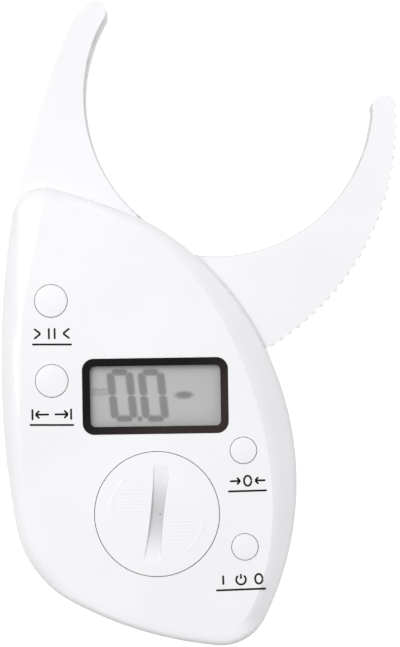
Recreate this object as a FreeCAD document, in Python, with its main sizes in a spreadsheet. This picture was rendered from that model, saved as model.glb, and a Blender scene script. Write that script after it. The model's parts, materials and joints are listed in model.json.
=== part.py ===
import FreeCAD, Part
import math
import os
import re

import Sketcher
from FreeCAD import Placement, Rotation, Vector

# Digital skinfold caliper. A two-piece casing carries one fixed jaw. A moving jaw turns on a
# pivot inside it and springs open. In the casing are a display, four push buttons and a coin
# cell under a door that a coin turns. The caliper lies on its flat back: +Z points out of its
# front, +Y along it towards the jaws. The origin is on the pivot axis, in the plane of the back.

SIZES = [
    # alias, millimetres or degrees, what it is
    ("brow_left_x", -36.4, "casing outline, corner at the fixed jaw's root, before rounding"),
    ("brow_left_y", 29.6, "same corner"),
    ("throat_x", -2.3, "casing outline, corner between the jaws"),
    ("throat_y", 17.6, "same corner"),
    ("heel_right_x", 21.9, "casing outline, lower right corner"),
    ("heel_right_y", -93.5, "same corner"),
    ("heel_left_x", -35.9, "casing outline, lower left corner"),
    ("heel_left_y", -73.3, "same corner"),
    ("brow_bow", 0.5, "how far the edge below the fixed jaw bows out of its chord"),
    ("right_bow", 24.2, "how far the right side bows out"),
    ("heel_bow", 4.9, "how far the bottom bows out"),
    ("left_bow", 5.76, "how far the left side bows out"),
    ("brow_round", 8.5, "corner radius at the fixed jaw's root"),
    ("throat_round", 40.0, "corner radius between the jaws"),
    ("heel_right_round", 12.7, "corner radius, lower right"),
    ("heel_left_round", 27.6, "corner radius, lower left"),
    ("shell_wall", 2.0, "side walls and front wall of both shells"),
    ("floor_thickness", 1.8, "back wall"),
    ("back_edge_round", 2.5, "round of the back edge"),
    ("seam_height", 0.25, "fine groove round the casing where its shells meet"),
    ("seam_depth", 0.15, "depth of that groove"),
    ("edge_heel", 4.6, "round of the front edge along the bottom"),
    ("edge_left", 6.2, "round of the front edge halfway down the left side"),
    ("edge_left_top", 7.0, "round of the front edge at the upper left"),
    ("edge_brow_left", 5.5, "round of the front edge where the brow starts"),
    ("edge_brow", 3.2, "round of the front edge below the fixed jaw"),
    ("edge_throat", 3.5, "round of the front edge between the jaws"),
    ("edge_right_top", 6.0, "round of the front edge at the upper right"),
    ("edge_right", 7.2, "round of the front edge halfway down the right side"),
    ("lip_height", 0.9, "tongue of the back shell inside the front shell"),
    ("lip_thickness", 0.9, "thickness of that tongue"),
    ("fit_gap", 0.1, "clearance of fixed pieces that slide into each other"),
    ("jaw_underside", 2.6, "back face to the underside of both jaws"),
    ("jaw_thickness", 7.4, "thickness of both jaws"),
    ("jaw_wall", 1.8, "walls of the hollow fixed jaw"),
    ("jaw_edge_round", 0.5, "round of the long edges of both jaws"),
    ("jaw_radius", 41.42, "radius of the inner edge of both jaws"),
    ("foot_lap_x", 0.15, "foot of the fixed jaw's inner edge, inside the corner between the jaws"),
    ("foot_lap_y", 0.19, "same foot"),
    ("fixed_neck", -40.0, "where the inner edge meets the fixed jaw's tip, degrees on the tip"),
    ("moving_foot", 51.12, "where the inner edge meets the moving jaw's hub, degrees on the hub"),
    ("moving_neck", -160.0, "where the inner edge meets the moving jaw's tip, degrees on the tip"),
    ("tip_radius", 3.19, "round tips of both jaws"),
    ("fixed_tip_x", -15.99, "centre of the fixed jaw's tip"),
    ("fixed_tip_y", 73.21, "same centre"),
    ("tip_step", 1.27, "how much further from the pivot the moving jaw's tip is"),
    ("open_angle", 38.43, "direction of the moving jaw's tip from the pivot, jaws open, degrees"),
    ("tip_neck_round", 1.6, "round where a tip stands out of the inner edge"),
    ("pad_depth", 0.2, "how deep the flat measuring pads cut into the tips"),
    ("pad_gap", 0.2, "gap between the pads when the jaws are closed"),
    ("shoulder_left", 6.6, "fixed tip to the corner where the jaw's back bends to it"),
    ("shoulder_drop", 2.39, "same corner, below the tip"),
    ("shoulder_round", 20.0, "round of that corner"),
    ("arm_bow", 1.24, "bow of the fixed jaw's back"),
    ("arm_root_y", 24.0, "where the fixed jaw's back leaves the casing's side"),
    ("arm_end_y", 6.0, "how far down the fixed jaw reaches inside the casing"),
    ("grip_radius", 68.47, "radius of the moving jaw's back"),
    ("grip_end_x", 27.18, "where the moving jaw's back turns in to the hub, jaws open"),
    ("grip_end_y", -16.46, "same corner"),
    ("grip_end_round", 2.0, "round of that corner"),
    ("groove_spacing", 2.75, "spacing of the finger grooves on both jaws"),
    ("groove_depth", 0.45, "depth of the finger grooves"),
    ("groove_radius", 1.7, "radius of the finger grooves"),
    ("hub_radius", 12.0, "hub of the moving jaw"),
    ("pivot_radius", 4.0, "pivot boss of the back shell"),
    ("pivot_sink", 1.5, "top of the pivot boss below the top of the hub"),
    ("running_gap", 0.05, "radial clearance of the hub on its boss"),
    ("jaw_gap", 0.4, "clearance round the moving jaw"),
    ("thrust_inset", 0.6, "edge of the hub to the ring that the hub slides on"),
    ("thrust_width", 1.6, "width of that ring"),
    ("thrust_gap", 0.1, "clearance above that ring"),
    ("washer_radius", 5.2, "washer that holds the hub down"),
    ("washer_thickness", 0.6, "thickness of that washer"),
    ("washer_gap", 0.1, "clearance between the washer and the hub"),
    ("screw_radius", 1.1, "shank of every screw"),
    ("screw_head_radius", 2.3, "head of the casing screws"),
    ("screw_head_height", 1.5, "head height of the casing screws"),
    ("screw_length", 8.0, "shank length of the casing screws"),
    ("jaw_screw_length", 5.0, "shank length of the screw in the fixed jaw"),
    ("recess_width", 0.6, "slots of the cross recess in the screw heads"),
    ("recess_depth", 0.8, "depth of that recess"),
    ("recess_share", 0.6, "arms of that recess, as a share of the head's width"),
    ("pivot_head_radius", 2.8, "head of the pivot screw"),
    ("pivot_head_height", 1.5, "head height of the pivot screw"),
    ("pivot_screw_length", 6.0, "shank length of the pivot screw"),
    ("well_radius", 3.6, "tube round each casing screw in the back shell"),
    ("well_seat", 3.2, "back face to the seat of the casing screw heads"),
    ("seat_thickness", 1.8, "thickness of that seat"),
    ("head_gap", 0.3, "radial clearance round a sunk screw head"),
    ("boss_radius", 2.9, "boss of the front shell for each casing screw"),
    ("rotor_inset", 0.7, "edge of the hub to the sensor ring"),
    ("rotor_width", 5.0, "sensor ring on the hub, width"),
    ("rotor_thickness", 0.8, "sensor ring thickness"),
    ("spring_radius", 7.2, "mean radius of the jaw spring"),
    ("spring_wire", 0.9, "wire diameter of the jaw spring"),
    ("spring_spacing", 1.05, "spacing of the jaw spring's coils"),
    ("spring_turns", 3.0, "turns of the jaw spring"),
    ("spring_leg", 0.9, "how far each leg of the spring reaches into its hole"),
    ("spring_gap", 0.2, "clearance round the spring in its pocket"),
    ("board_gap", 0.4, "clearance between the jaw and the main board"),
    ("board_thickness", 1.2, "main board"),
    ("board_inset", 3.4, "casing outline to the edge of the main board"),
    ("post_radius", 2.2, "posts of the front shell for the board screws"),
    ("board_head_radius", 1.9, "head of the board screws"),
    ("board_head_height", 1.0, "head height of the board screws"),
    ("board_screw_length", 4.0, "shank length of the board screws"),
    ("column_x", -1.36, "centre line of the display and the battery door"),
    ("display_gap", 4.66, "rim of the battery door to the display bezel"),
    ("bezel_border", 1.95, "visible border of the bezel"),
    ("bezel_corner", 3.0, "outer corner radius of the bezel"),
    ("bezel_inner_corner", 1.3, "inner corner radius of the bezel"),
    ("bezel_proud", 0.08, "how far the bezel stands out of the front face"),
    ("bezel_border_depth", 0.9, "thickness of the bezel's border over the window"),
    ("window_lap", 0.85, "how far the window reaches under the border"),
    ("window_thickness", 1.2, "display window"),
    ("lcd_width", 36.0, "liquid crystal glass"),
    ("lcd_height", 17.9, "liquid crystal glass"),
    ("glass_lap", 1.1, "how far the bezel covers the edge of that glass"),
    ("lcd_pane", 0.8, "each pane of that glass"),
    ("lcd_ledge", 1.5, "contact ledge of the lower pane"),
    ("strip_width", 1.8, "rubber contact strips below the glass"),
    ("frame_wall", 1.0, "wall of the frame round the glass"),
    ("left_button_radius", 4.2, "hold and unit buttons"),
    ("right_button_radius", 3.4, "zero and power buttons"),
    ("hold_x", -27.99, "hold button"),
    ("hold_y", -2.65, "hold button"),
    ("unit_x", -28.09, "unit button"),
    ("unit_y", -23.34, "unit button"),
    ("zero_x", 21.21, "zero button"),
    ("zero_y", -42.04, "zero button"),
    ("power_x", 21.25, "power button"),
    ("power_y", -67.0, "power button"),
    ("button_proud", 0.35, "how far the rims of the buttons stand out of the front face"),
    ("button_crown", 0.2, "rise of a button's middle above its rim"),
    ("button_gap", 0.15, "clearance round each button"),
    ("flange_width", 0.8, "flange that keeps a button in, beyond its radius"),
    ("flange_thickness", 0.8, "thickness of that flange"),
    ("flange_gap", 0.15, "clearance between the flange and the front wall"),
    ("button_travel", 0.3, "travel of each button"),
    ("switch_side", 5.0, "body of the push switches, square"),
    ("stem_length", 0.25, "stem of a button below its flange"),
    ("stem_radius", 1.8, "same stem"),
    ("plunger_radius", 1.2, "plunger of the push switches"),
    ("plunger_height", 0.4, "plunger above its switch body"),
    ("plunger_depth", 0.6, "plunger inside its switch body"),
    ("door_y", -58.18, "centre of the battery door"),
    ("door_lap", 1.5, "battery door, its rim beyond the lugs"),
    ("door_thickness", 1.95, "plate of the battery door"),
    ("door_proud", 0.15, "how far the door stands out of the front face"),
    ("door_gap", 0.2, "clearance round the door"),
    ("coin_angle", 83.2, "direction of the coin groove, from +X"),
    ("coin_length", 25.4, "coin groove length at the surface"),
    ("coin_width", 3.3, "coin groove width"),
    ("coin_depth", 1.3, "coin groove depth in its middle"),
    ("skirt_gap", 0.85, "clearance of the door's skirt round the ring that holds the cell"),
    ("skirt_wall", 1.1, "skirt wall"),
    ("skirt_height", 2.3, "skirt below the door's plate"),
    ("lug_width", 1.5, "bayonet lugs, beyond the skirt"),
    ("lug_height", 0.9, "bayonet lugs, height"),
    ("lug_angle", 28.0, "width of each bayonet lug"),
    ("notch_angle", 34.0, "width of each notch that the lugs pass"),
    ("door_turn", 50.0, "turn that frees the door"),
    ("ledge_thickness", 1.2, "ledge of the front shell that holds the lugs"),
    ("collar_wall", 1.5, "collar of the front shell round the door"),
    ("cell_radius", 10.0, "coin cell"),
    ("cell_height", 3.2, "coin cell"),
    ("cell_pole_radius", 8.6, "smaller pole of the coin cell"),
    ("cell_pole_step", 0.3, "height of that pole"),
    ("cell_gap", 0.15, "clearance between the cell and its door"),
    ("cell_lift", 0.25, "main board to the coin cell"),
    ("holder_wall", 1.0, "ring round the coin cell"),
    ("holder_height", 2.6, "height of that ring"),
    ("contact_thickness", 0.2, "battery contacts"),
    ("contact_width", 4.0, "battery contacts"),
    ("rib_thickness", 1.2, "stiffening ribs of the back shell"),
    ("rib_height", 2.6, "stiffening ribs above the floor"),
    ("rib_count", 3, "stiffening ribs across the back shell"),
    ("rib_spacing", 18.0, "spacing of those ribs"),
    ("rib_first_y", -30.0, "first of those ribs"),
    ("chip_side", 8.0, "controller package"),
    ("chip_height", 1.0, "controller package"),
    ("chip_x", 4.0, "controller package"),
    ("chip_y", -33.0, "controller package"),
    ("small_chip_width", 2.7, "small packages on the main board"),
    ("small_chip_depth", 1.6, "small packages on the main board"),
    ("small_chip_height", 0.7, "small packages on the main board"),
    ("small_chip_step", 5.0, "spacing of the small packages in their row"),
    ("small_chip_row", 16.4, "first row of them below the display's centre"),
    ("small_chip_rows", 18.0, "distance between their two rows"),
    ("can_step", 12.0, "controller package to the crystal can"),
    ("can_radius", 1.6, "crystal can on the main board"),
    ("can_height", 3.0, "crystal can on the main board"),
]
# Fasteners: each kind's places, as a corner of the casing or the jaw and an offset from it.
PLACES = {
    "screw": [("brow_left", 8.9, -12.6), ("throat", 26.6, -44.6), ("heel_left", 6.4, 21.3),
              ("heel_right", -2.9, 12.4), ("heel_left", 21.9, -5.7)],
    "post": [("brow_left", 17.9, -21.1), ("brow_left", 5.9, -42.6), ("heel_right", 2.1, 39.0),
             ("heel_left", 9.9, 32.3)],
    "jaw_screw": [("brow_left", 11.2, 7.4)],
}
for stem, places in PLACES.items():
    for number, (corner, right, up) in enumerate(places, start=1):
        SIZES.append((f"{stem}_{number}_right", right, f"{stem} {number}, right of {corner}"))
        SIZES.append((f"{stem}_{number}_up", up, f"{stem} {number}, above {corner}"))
ALIASES = {alias for alias, _, _ in SIZES}
UP = Vector(0, 0, 1)

doc = FreeCAD.newDocument("skinfold_caliper")
sheet = doc.addObject("Spreadsheet::Sheet", "Sizes")
finished = []


def fill_sheet():
    """Writes every driving dimension as a plain number, with its alias, beside its meaning."""
    for row, (alias, value, meaning) in enumerate(SIZES, start=1):
        sheet.set(f"A{row}", meaning)
        sheet.set(f"B{row}", str(value))
        sheet.setAlias(f"B{row}", alias)
    doc.recompute()


fill_sheet()


def size(alias):
    """The value of one driving dimension, read from the sheet."""
    return float(sheet.get(alias))


def cells(formula):
    """Turns each alias in a formula into a reference to the sheet."""
    return re.sub(r"[a-z_]\w*", lambda m: f"Sizes.{m[0]}" if m[0] in ALIASES else m[0], formula)


def value(formula):
    """The present value of a formula over the sheet."""
    numbers = re.sub(r"[a-z_]\w*", lambda m: f"({size(m[0])!r})", formula)
    return float(FreeCAD.Units.Quantity(numbers).Value)


# Heights, radii and places that several pieces share, each as a formula over the sheet.
JAW_TOP = "( jaw_underside + jaw_thickness )"
PARTING = "( jaw_underside + jaw_thickness / 2 )"
BOARD_BOTTOM = f"( {JAW_TOP} + board_gap )"
BOARD_TOP = f"( {BOARD_BOTTOM} + board_thickness )"
CELL_BOTTOM = f"( {BOARD_TOP} + cell_lift )"
CELL_TOP = f"( {CELL_BOTTOM} + cell_height )"
DOOR_BOTTOM = f"( {CELL_TOP} + cell_gap )"
DOOR_TOP = f"( {DOOR_BOTTOM} + door_thickness )"
FRONT = f"( {DOOR_TOP} - door_proud )"
WALL_UNDERSIDE = f"( {FRONT} - shell_wall )"
PIVOT_TOP = f"( {JAW_TOP} - pivot_sink )"
WASHER_TOP = f"( {PIVOT_TOP} + washer_thickness )"
BEZEL_TOP = f"( {FRONT} + bezel_proud )"
WINDOW_TOP = f"( {BEZEL_TOP} - bezel_border_depth )"
WINDOW_BOTTOM = f"( {WINDOW_TOP} - window_thickness )"
GLASS_TOP = f"( {WINDOW_BOTTOM} - fit_gap )"
GLASS_BOTTOM = f"( {GLASS_TOP} - 2 * lcd_pane )"
FLANGE_TOP = f"( {WALL_UNDERSIDE} - flange_gap )"
FLANGE_BOTTOM = f"( {FLANGE_TOP} - flange_thickness )"
PLUNGER_TOP = f"( {FLANGE_BOTTOM} - stem_length )"
SWITCH_TOP = f"( {PLUNGER_TOP} - plunger_height )"
ROTOR_OUTER = "( hub_radius - rotor_inset )"
ROTOR_INNER = f"( {ROTOR_OUTER} - rotor_width )"
THRUST_OUTER = "( hub_radius - thrust_inset )"
HOLDER_OUTER = "( cell_radius + cell_gap + holder_wall )"
HOLDER_TOP = f"( {BOARD_TOP} + holder_height )"
SKIRT_INNER = f"( {HOLDER_OUTER} + skirt_gap )"
SKIRT_OUTER = f"( {SKIRT_INNER} + skirt_wall )"
LUG_OUTER = f"( {SKIRT_OUTER} + lug_width )"
DOOR_RADIUS = f"( {LUG_OUTER} + door_lap )"
OPENING_WIDTH = "( lcd_width - 2 * glass_lap )"
OPENING_HEIGHT = "( lcd_height - 2 * glass_lap )"
BEZEL_WIDTH = f"( {OPENING_WIDTH} + 2 * bezel_border )"
BEZEL_HEIGHT = f"( {OPENING_HEIGHT} + 2 * bezel_border )"
DISPLAY_Y = f"( door_y + {DOOR_RADIUS} + display_gap + {BEZEL_HEIGHT} / 2 )"
BUTTONS = [("hold", "left"), ("unit", "left"), ("zero", "right"), ("power", "right")]


# ---------------------------------------------------------------- the document's helpers

def bind(obj, **formulas):
    """Binds properties to formulas over the sheet; x, y and z are the object's place."""
    places = {"x": "Placement.Base.x", "y": "Placement.Base.y", "z": "Placement.Base.z"}
    for prop, formula in formulas.items():
        obj.setExpression(places.get(prop, prop), cells(formula))
    return obj


def primitive(kind, name, **formulas):
    """A Part primitive whose sizes and place are bound to the sheet."""
    return bind(doc.addObject(f"Part::{kind}", name), **formulas)


def block(name, x, y, width, depth, bottom, top):
    """A box centred at x, y between two heights, all as formulas."""
    return primitive("Box", name, Length=width, Width=depth, Height=f"( {top} ) - ( {bottom} )",
                     x=f"{x} - ( {width} ) / 2", y=f"{y} - ( {depth} ) / 2", z=bottom)


def disc(name, x, y, radius, bottom, top):
    """An upright cylinder between two heights, all as formulas."""
    return primitive("Cylinder", name, Radius=radius, Height=f"( {top} ) - ( {bottom} )",
                     x=x, y=y, z=bottom)


def cut(name, base, *tools):
    """Part::Cut of one or more tools from a base."""
    made = doc.addObject("Part::Cut", name)
    made.Base = base
    made.Tool = tools[0] if len(tools) == 1 else fuse(name + "_tools", *tools)
    return made


def fuse(name, *shapes):
    """Part::MultiFuse of several objects."""
    made = doc.addObject("Part::MultiFuse", name)
    made.Shapes = list(shapes)
    return made


def group(name, *shapes):
    """Separate solids in one object, such as a set of like screws."""
    made = doc.addObject("Part::Compound", name)
    made.Links = list(shapes)
    return made


def finish_part(obj, label):
    """Names a finished sub-part, which gets a file of its own."""
    obj.Label = label
    finished.append((obj, label))
    return obj


def shape_part(shape, label):
    """A sub-part whose shape is worked out with Part's own functions."""
    obj = doc.addObject("Part::Feature", label + "_shape")
    obj.Shape = shape
    obj.Placement = Placement()
    return finish_part(obj, label)


def new_body(name, plane, draw, x="0", y="0", lift="0"):
    """A body with one sketch, drawn by a function on one of the body's origin planes."""
    body = doc.addObject("PartDesign::Body", name)
    sketch = body.newObject("Sketcher::SketchObject", name + "_sketch")
    origin = [f for f in body.Origin.OriginFeatures if f.Role == plane][0]
    sketch.AttachmentSupport = (origin, [""])
    sketch.MapMode = "FlatFace"
    sketch.setExpression("AttachmentOffset.Base.z", cells(lift))
    draw(sketch)
    bind(body, x=x, y=y)
    return body, sketch


def polygon(corners):
    """A function that draws a closed polygon; each corner is a pair of formulas."""
    def draw(sketch):
        rough = [(value(a), value(b)) for a, b in corners]
        for here, there in zip(rough, rough[1:] + rough[:1]):
            sketch.addGeometry(Part.LineSegment(Vector(*here, 0), Vector(*there, 0)), False)
        for line in range(len(corners)):
            following = (line + 1) % len(corners)
            sketch.addConstraint(Sketcher.Constraint("Coincident", line, 2, following, 1))
        for line, corner in enumerate(corners):
            for axis, formula in enumerate(corner):
                pin(sketch, line, axis, formula, rough[line][axis])
    return draw


def pin(sketch, line, axis, formula, now):
    """Holds one coordinate of a line's start at a formula over the sheet."""
    if formula == "0":
        sketch.addConstraint(Sketcher.Constraint("PointOnObject", line, 1, -2 + axis))
        return
    kind = ("DistanceX", "DistanceY")[axis]
    index = sketch.addConstraint(Sketcher.Constraint(kind, -1, 1, line, 1, now))
    sketch.setExpression(f"Constraints[{index}]", cells(formula))


def turned(label, profile, x="0", y="0"):
    """A turned sub-part: its half profile, as radius and height formulas, goes round Z."""
    body, sketch = new_body(label + "_body", "XZ_Plane", polygon(profile), x, y)
    feature = body.newObject("PartDesign::Revolution", label + "_turn")
    feature.Profile = sketch
    feature.ReferenceAxis = (sketch, ["V_Axis"])
    feature.Angle = 360
    return body


def plate(label, x, y, width, depth, bottom, top, corner=None):
    """A flat plate with rounded upright edges, padded from a sketch."""
    left, right = f"0 - ( {width} ) / 2", f"( {width} ) / 2"
    low, high = f"0 - ( {depth} ) / 2", f"( {depth} ) / 2"
    outline = polygon([(left, low), (right, low), (right, high), (left, high)])
    body, sketch = new_body(label + "_body", "XY_Plane", outline, x, y, bottom)
    pad = body.newObject("PartDesign::Pad", label + "_pad")
    pad.Profile = sketch
    pad.setExpression("Length", cells(f"( {top} ) - ( {bottom} )"))
    doc.recompute()
    if corner:
        upright = [f"Edge{i}" for i, edge in enumerate(pad.Shape.Edges, start=1)
                   if abs(edge.BoundBox.ZLength - value(f"( {top} ) - ( {bottom} )")) < 1e-6]
        fillet = body.newObject("PartDesign::Fillet", label + "_corners")
        fillet.Base = (pad, upright)
        fillet.setExpression("Radius", cells(corner))
    return body


# ---------------------------------------------------------------- outlines

def spot(stem):
    """A named point of the sheet, in the plane of the back."""
    return Vector(size(stem + "_x"), size(stem + "_y"), 0)


def bowed(start, end, bow):
    """An arc whose middle stands bow to the left of its chord."""
    chord = end - start
    left = Vector(-chord.y, chord.x, 0).normalize()
    return Part.Arc(start, (start + end) * 0.5 + left * bow, end).toShape()


def parted(edge, *shares):
    """One arc as several, cut at the given shares of its length."""
    first, last = edge.FirstParameter, edge.LastParameter
    stops = [first + (last - first) * share for share in (0, *shares, 1)]
    return [Part.Edge(edge.Curve, a, b) for a, b in zip(stops, stops[1:])]


def share_of(edge, share):
    """The parameter at a share of an arc."""
    return edge.FirstParameter + (edge.LastParameter - edge.FirstParameter) * share


def toward(start, end, radius):
    """The point at a distance from start in the direction of end."""
    return start + (end - start).normalize() * radius


def polar(centre, radius, degrees):
    """The point at a radius and an angle from a centre."""
    turn = math.radians(degrees)
    return centre + Vector(radius * math.cos(turn), radius * math.sin(turn), 0)


def angle_of(vector):
    """The direction of a vector in degrees, from +X."""
    return math.degrees(math.atan2(vector.y, vector.x))


def prism(face, bottom, top):
    """A flat outline made solid between two heights."""
    solid = face.extrude(UP * (top - bottom))
    solid.translate(UP * bottom)
    return solid


def cylinder(radius, bottom, top, centre=Vector(), degrees=360.0, first=0.0):
    """An upright cylinder, or a sector of one that starts at an angle."""
    made = Part.makeCylinder(radius, top - bottom, Vector(), UP, degrees)
    made.rotate(Vector(), UP, first)
    made.translate(Vector(centre.x, centre.y, bottom))
    return made


CORNERS = [spot(name) for name in ("brow_left", "throat", "heel_right", "heel_left")]
CORNER_ROUNDS = ("brow_round", "throat_round", "heel_right_round", "heel_left_round")
BROW_ARC, RIGHT_ARC, HEEL_ARC, LEFT_ARC = SIDES = [
    bowed(start, end, size(bow)) for start, end, bow in zip(
        CORNERS, CORNERS[1:] + CORNERS[:1], ("brow_bow", "right_bow", "heel_bow", "left_bow"))]
SIDE_SHARES = [(0.45,), (0.25, 0.6), (), (0.5,)]


def crossing(first, second, near):
    """Where two circles, each a centre and a radius, cross nearest to a point."""
    (a, reach_a), (b, reach_b) = first, second
    apart = a.distanceToPoint(b)
    along = (apart ** 2 + reach_a ** 2 - reach_b ** 2) / (2 * apart)
    aside = math.sqrt(reach_a ** 2 - along ** 2)
    axis = (b - a).normalize()
    foot = a + axis * along
    across = Vector(-axis.y, axis.x, 0) * aside
    return min((foot + across, foot - across), key=near.distanceToPoint)


def casing_prism(inset, bottom, top):
    """The casing outline moved inwards and made solid: four arcs with rounded corners."""
    circles = [(side.Curve.Center, side.Curve.Radius - inset) for side in SIDES]
    corners = [crossing(circles[i - 1], circles[i], CORNERS[i]) for i in range(4)]
    edges = []
    for side, circle, start, end, shares in zip(
            SIDES, circles, corners, corners[1:] + corners[:1], SIDE_SHARES):
        middle = toward(circle[0], side.valueAt(share_of(side, 0.5)), circle[1])
        edges += parted(Part.Arc(start, middle, end).toShape(), *shares)
    solid = prism(Part.Face(Part.Wire(edges)), bottom, top)
    for corner, alias in zip(corners, CORNER_ROUNDS):
        upright = [edge for edge in solid.Edges
                   if all(abs(v.X - corner.x) + abs(v.Y - corner.y) < 1e-4 for v in edge.Vertexes)]
        solid = solid.makeFillet(size(alias) - inset, upright)
    return solid


def edge_round(place):
    """The round of the front edge near a place on the casing outline."""
    brow_left, throat, heel_right, heel_left = CORNERS
    brow_step, right_step, left_step = (
        size(alias) / 2 for alias in ("brow_round", "heel_right_round", "heel_left_round"))
    known = [
        (toward(brow_left, heel_left, brow_step), "edge_left_top"),
        (toward(brow_left, throat, brow_step), "edge_brow_left"),
        (BROW_ARC.valueAt(share_of(BROW_ARC, 0.45)), "edge_brow"),
        (throat, "edge_throat"),
        (RIGHT_ARC.valueAt(share_of(RIGHT_ARC, 0.25)), "edge_right_top"),
        (RIGHT_ARC.valueAt(share_of(RIGHT_ARC, 0.6)), "edge_right"),
        (toward(heel_right, throat, right_step), "edge_heel"),
        (toward(heel_right, heel_left, right_step), "edge_heel"),
        (toward(heel_left, heel_right, left_step), "edge_heel"),
        (toward(heel_left, brow_left, left_step), "edge_heel"),
        (LEFT_ARC.valueAt(share_of(LEFT_ARC, 0.5)), "edge_left"),
    ]
    return size(min(known, key=lambda item: item[0].distanceToPoint(place))[1])


def domed(solid, top, inset):
    """Rounds the upper edge of a casing prism by a radius that changes along it."""
    holder = doc.addObject("Part::Feature", "dome_base")
    holder.Shape = solid
    fillet = doc.addObject("Part::Fillet", "dome_round")
    fillet.Base = holder
    rounds = []
    for index, edge in enumerate(solid.Edges, start=1):
        if abs(edge.BoundBox.ZMin - top) + abs(edge.BoundBox.ZMax - top) < 1e-5:
            ends = (edge.valueAt(edge.FirstParameter), edge.valueAt(edge.LastParameter))
            rounds.append((index, *(edge_round(Vector(p.x, p.y, 0)) - inset for p in ends)))
    fillet.Edges = rounds
    doc.recompute()
    return fillet.Shape


def side_point(height):
    """The point of the casing's left side at one height."""
    circle = LEFT_ARC.Curve
    reach = math.sqrt(circle.Radius ** 2 - (height - circle.Center.y) ** 2)
    return Vector(circle.Center.x - reach, height, 0)


SHOULDER = spot("fixed_tip") - Vector(size("shoulder_left"), size("shoulder_drop"), 0)
FIXED_BACK = bowed(SHOULDER, side_point(size("arm_root_y")), -size("arm_bow"))


def moving_tip():
    """Centre of the moving jaw's tip, which meets the fixed one when the jaw has turned."""
    return polar(Vector(), spot("fixed_tip").Length + size("tip_step"), size("open_angle"))


def fixed_bore():
    """Centre of the fixed jaw's inner edge, which runs from the casing's corner to the tip."""
    foot = spot("throat") - Vector(size("foot_lap_x"), size("foot_lap_y"), 0)
    neck = polar(spot("fixed_tip"), size("tip_radius"), size("fixed_neck"))
    reach = size("jaw_radius")
    return crossing((foot, reach), (neck, reach), moving_tip())


def moving_bore():
    """Centre of the moving jaw's inner edge, which runs from its hub to its tip."""
    foot = polar(Vector(), size("hub_radius"), size("moving_foot"))
    neck = polar(moving_tip(), size("tip_radius"), size("moving_neck"))
    reach = size("jaw_radius")
    return crossing((foot, reach), (neck, reach), spot("fixed_tip"))


def grip_centre():
    """Centre of the moving jaw's back, which touches the tip and ends at the back's corner."""
    reach = size("grip_radius")
    return crossing((spot("grip_end"), reach), (moving_tip(), reach - size("tip_radius")), Vector())


def tangent_point(start, centre, radius, side):
    """Where a line from a point touches a circle; side 1 is to its left, -1 to its right."""
    apart = start.distanceToPoint(centre)
    turn = angle_of(start - centre) - side * math.degrees(math.acos(radius / apart))
    return polar(centre, radius, turn)


def rounded_upright(solid, place, radius):
    """Rounds the upright edge of a prism at one place."""
    upright = [edge for edge in solid.Edges if edge.BoundBox.ZLength > 1e-6 and all(
        Vector(v.X, v.Y, 0).distanceToPoint(place) < 1e-4 for v in edge.Vertexes)]
    return solid.makeFillet(radius, upright)


def fixed_jaw_prism(bottom, top):
    """Inner edge, tip, shoulder and back of the fixed jaw, closed inside the casing."""
    bore, tip, throat = fixed_bore(), spot("fixed_tip"), spot("throat")
    reach, tip_reach = size("jaw_radius"), size("tip_radius")
    root = side_point(size("arm_root_y"))
    neck = polar(tip, tip_reach, size("fixed_neck"))
    start = toward(bore, throat, reach)
    middle = polar(bore, reach, (angle_of(neck - bore) + angle_of(start - bore) % 360) / 2)
    crown = tangent_point(SHOULDER, tip, tip_reach, 1)
    nose = polar(tip, tip_reach, (angle_of(neck - tip) + angle_of(crown - tip)) / 2)
    inside = Vector((root.x + throat.x) / 2, size("arm_end_y"), 0)
    edges = [
        Part.Arc(start, middle, neck).toShape(),
        Part.Arc(neck, nose, crown).toShape(),
        Part.makeLine(crown, SHOULDER),
        FIXED_BACK,
        Part.makeLine(root, inside),
        Part.makeLine(inside, start),
    ]
    solid = prism(Part.Face(Part.Wire(edges)), bottom, top)
    solid = rounded_upright(solid, SHOULDER, size("shoulder_round"))
    return rounded_upright(solid, neck, size("tip_neck_round"))


def moving_jaw_corners(gap):
    """Root of the back and neck of the tip on the open moving jaw, grown by a clearance."""
    bore, grip, tip = moving_bore(), grip_centre(), moving_tip()
    grip_reach, root_x = size("grip_radius") + gap, size("grip_end_x") - gap
    root = Vector(root_x, grip.y - math.sqrt(grip_reach ** 2 - (root_x - grip.x) ** 2), 0)
    neck = crossing((bore, size("jaw_radius") - gap), (tip, size("tip_radius") + gap),
                    polar(tip, size("tip_radius"), size("moving_neck")))
    return root, neck


def moving_jaw_prism(gap, bottom, top):
    """Back, root, hub, inner edge and tip of the open moving jaw, grown by a clearance."""
    bore, grip, tip = moving_bore(), grip_centre(), moving_tip()
    bore_reach, grip_reach = size("jaw_radius") - gap, size("grip_radius") + gap
    hub_reach, tip_reach = size("hub_radius") + gap, size("tip_radius") + gap
    root, neck = moving_jaw_corners(gap)
    shoulder = toward(grip, tip, grip_reach)
    back_middle = polar(grip, grip_reach, (angle_of(shoulder - grip) + angle_of(root - grip)) / 2)
    hub_start = tangent_point(root, Vector(), hub_reach, 1)
    hub_end = crossing((Vector(), hub_reach), (bore, bore_reach),
                       polar(Vector(), hub_reach, size("moving_foot")))
    inner_middle = polar(bore, bore_reach, (angle_of(hub_end - bore) + angle_of(neck - bore)) / 2)
    nose = polar(tip, tip_reach, (angle_of(neck - tip) % 360 + angle_of(shoulder - tip)) / 2)
    edges = [
        Part.Arc(shoulder, back_middle, root).toShape(),
        Part.makeLine(root, hub_start),
        Part.Arc(hub_start, polar(Vector(), hub_reach, 180), hub_end).toShape(),
        Part.Arc(hub_end, inner_middle, neck).toShape(),
        Part.Arc(neck, nose, shoulder).toShape(),
    ]
    return prism(Part.Face(Part.Wire(edges)), bottom, top), edges[0]


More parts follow.
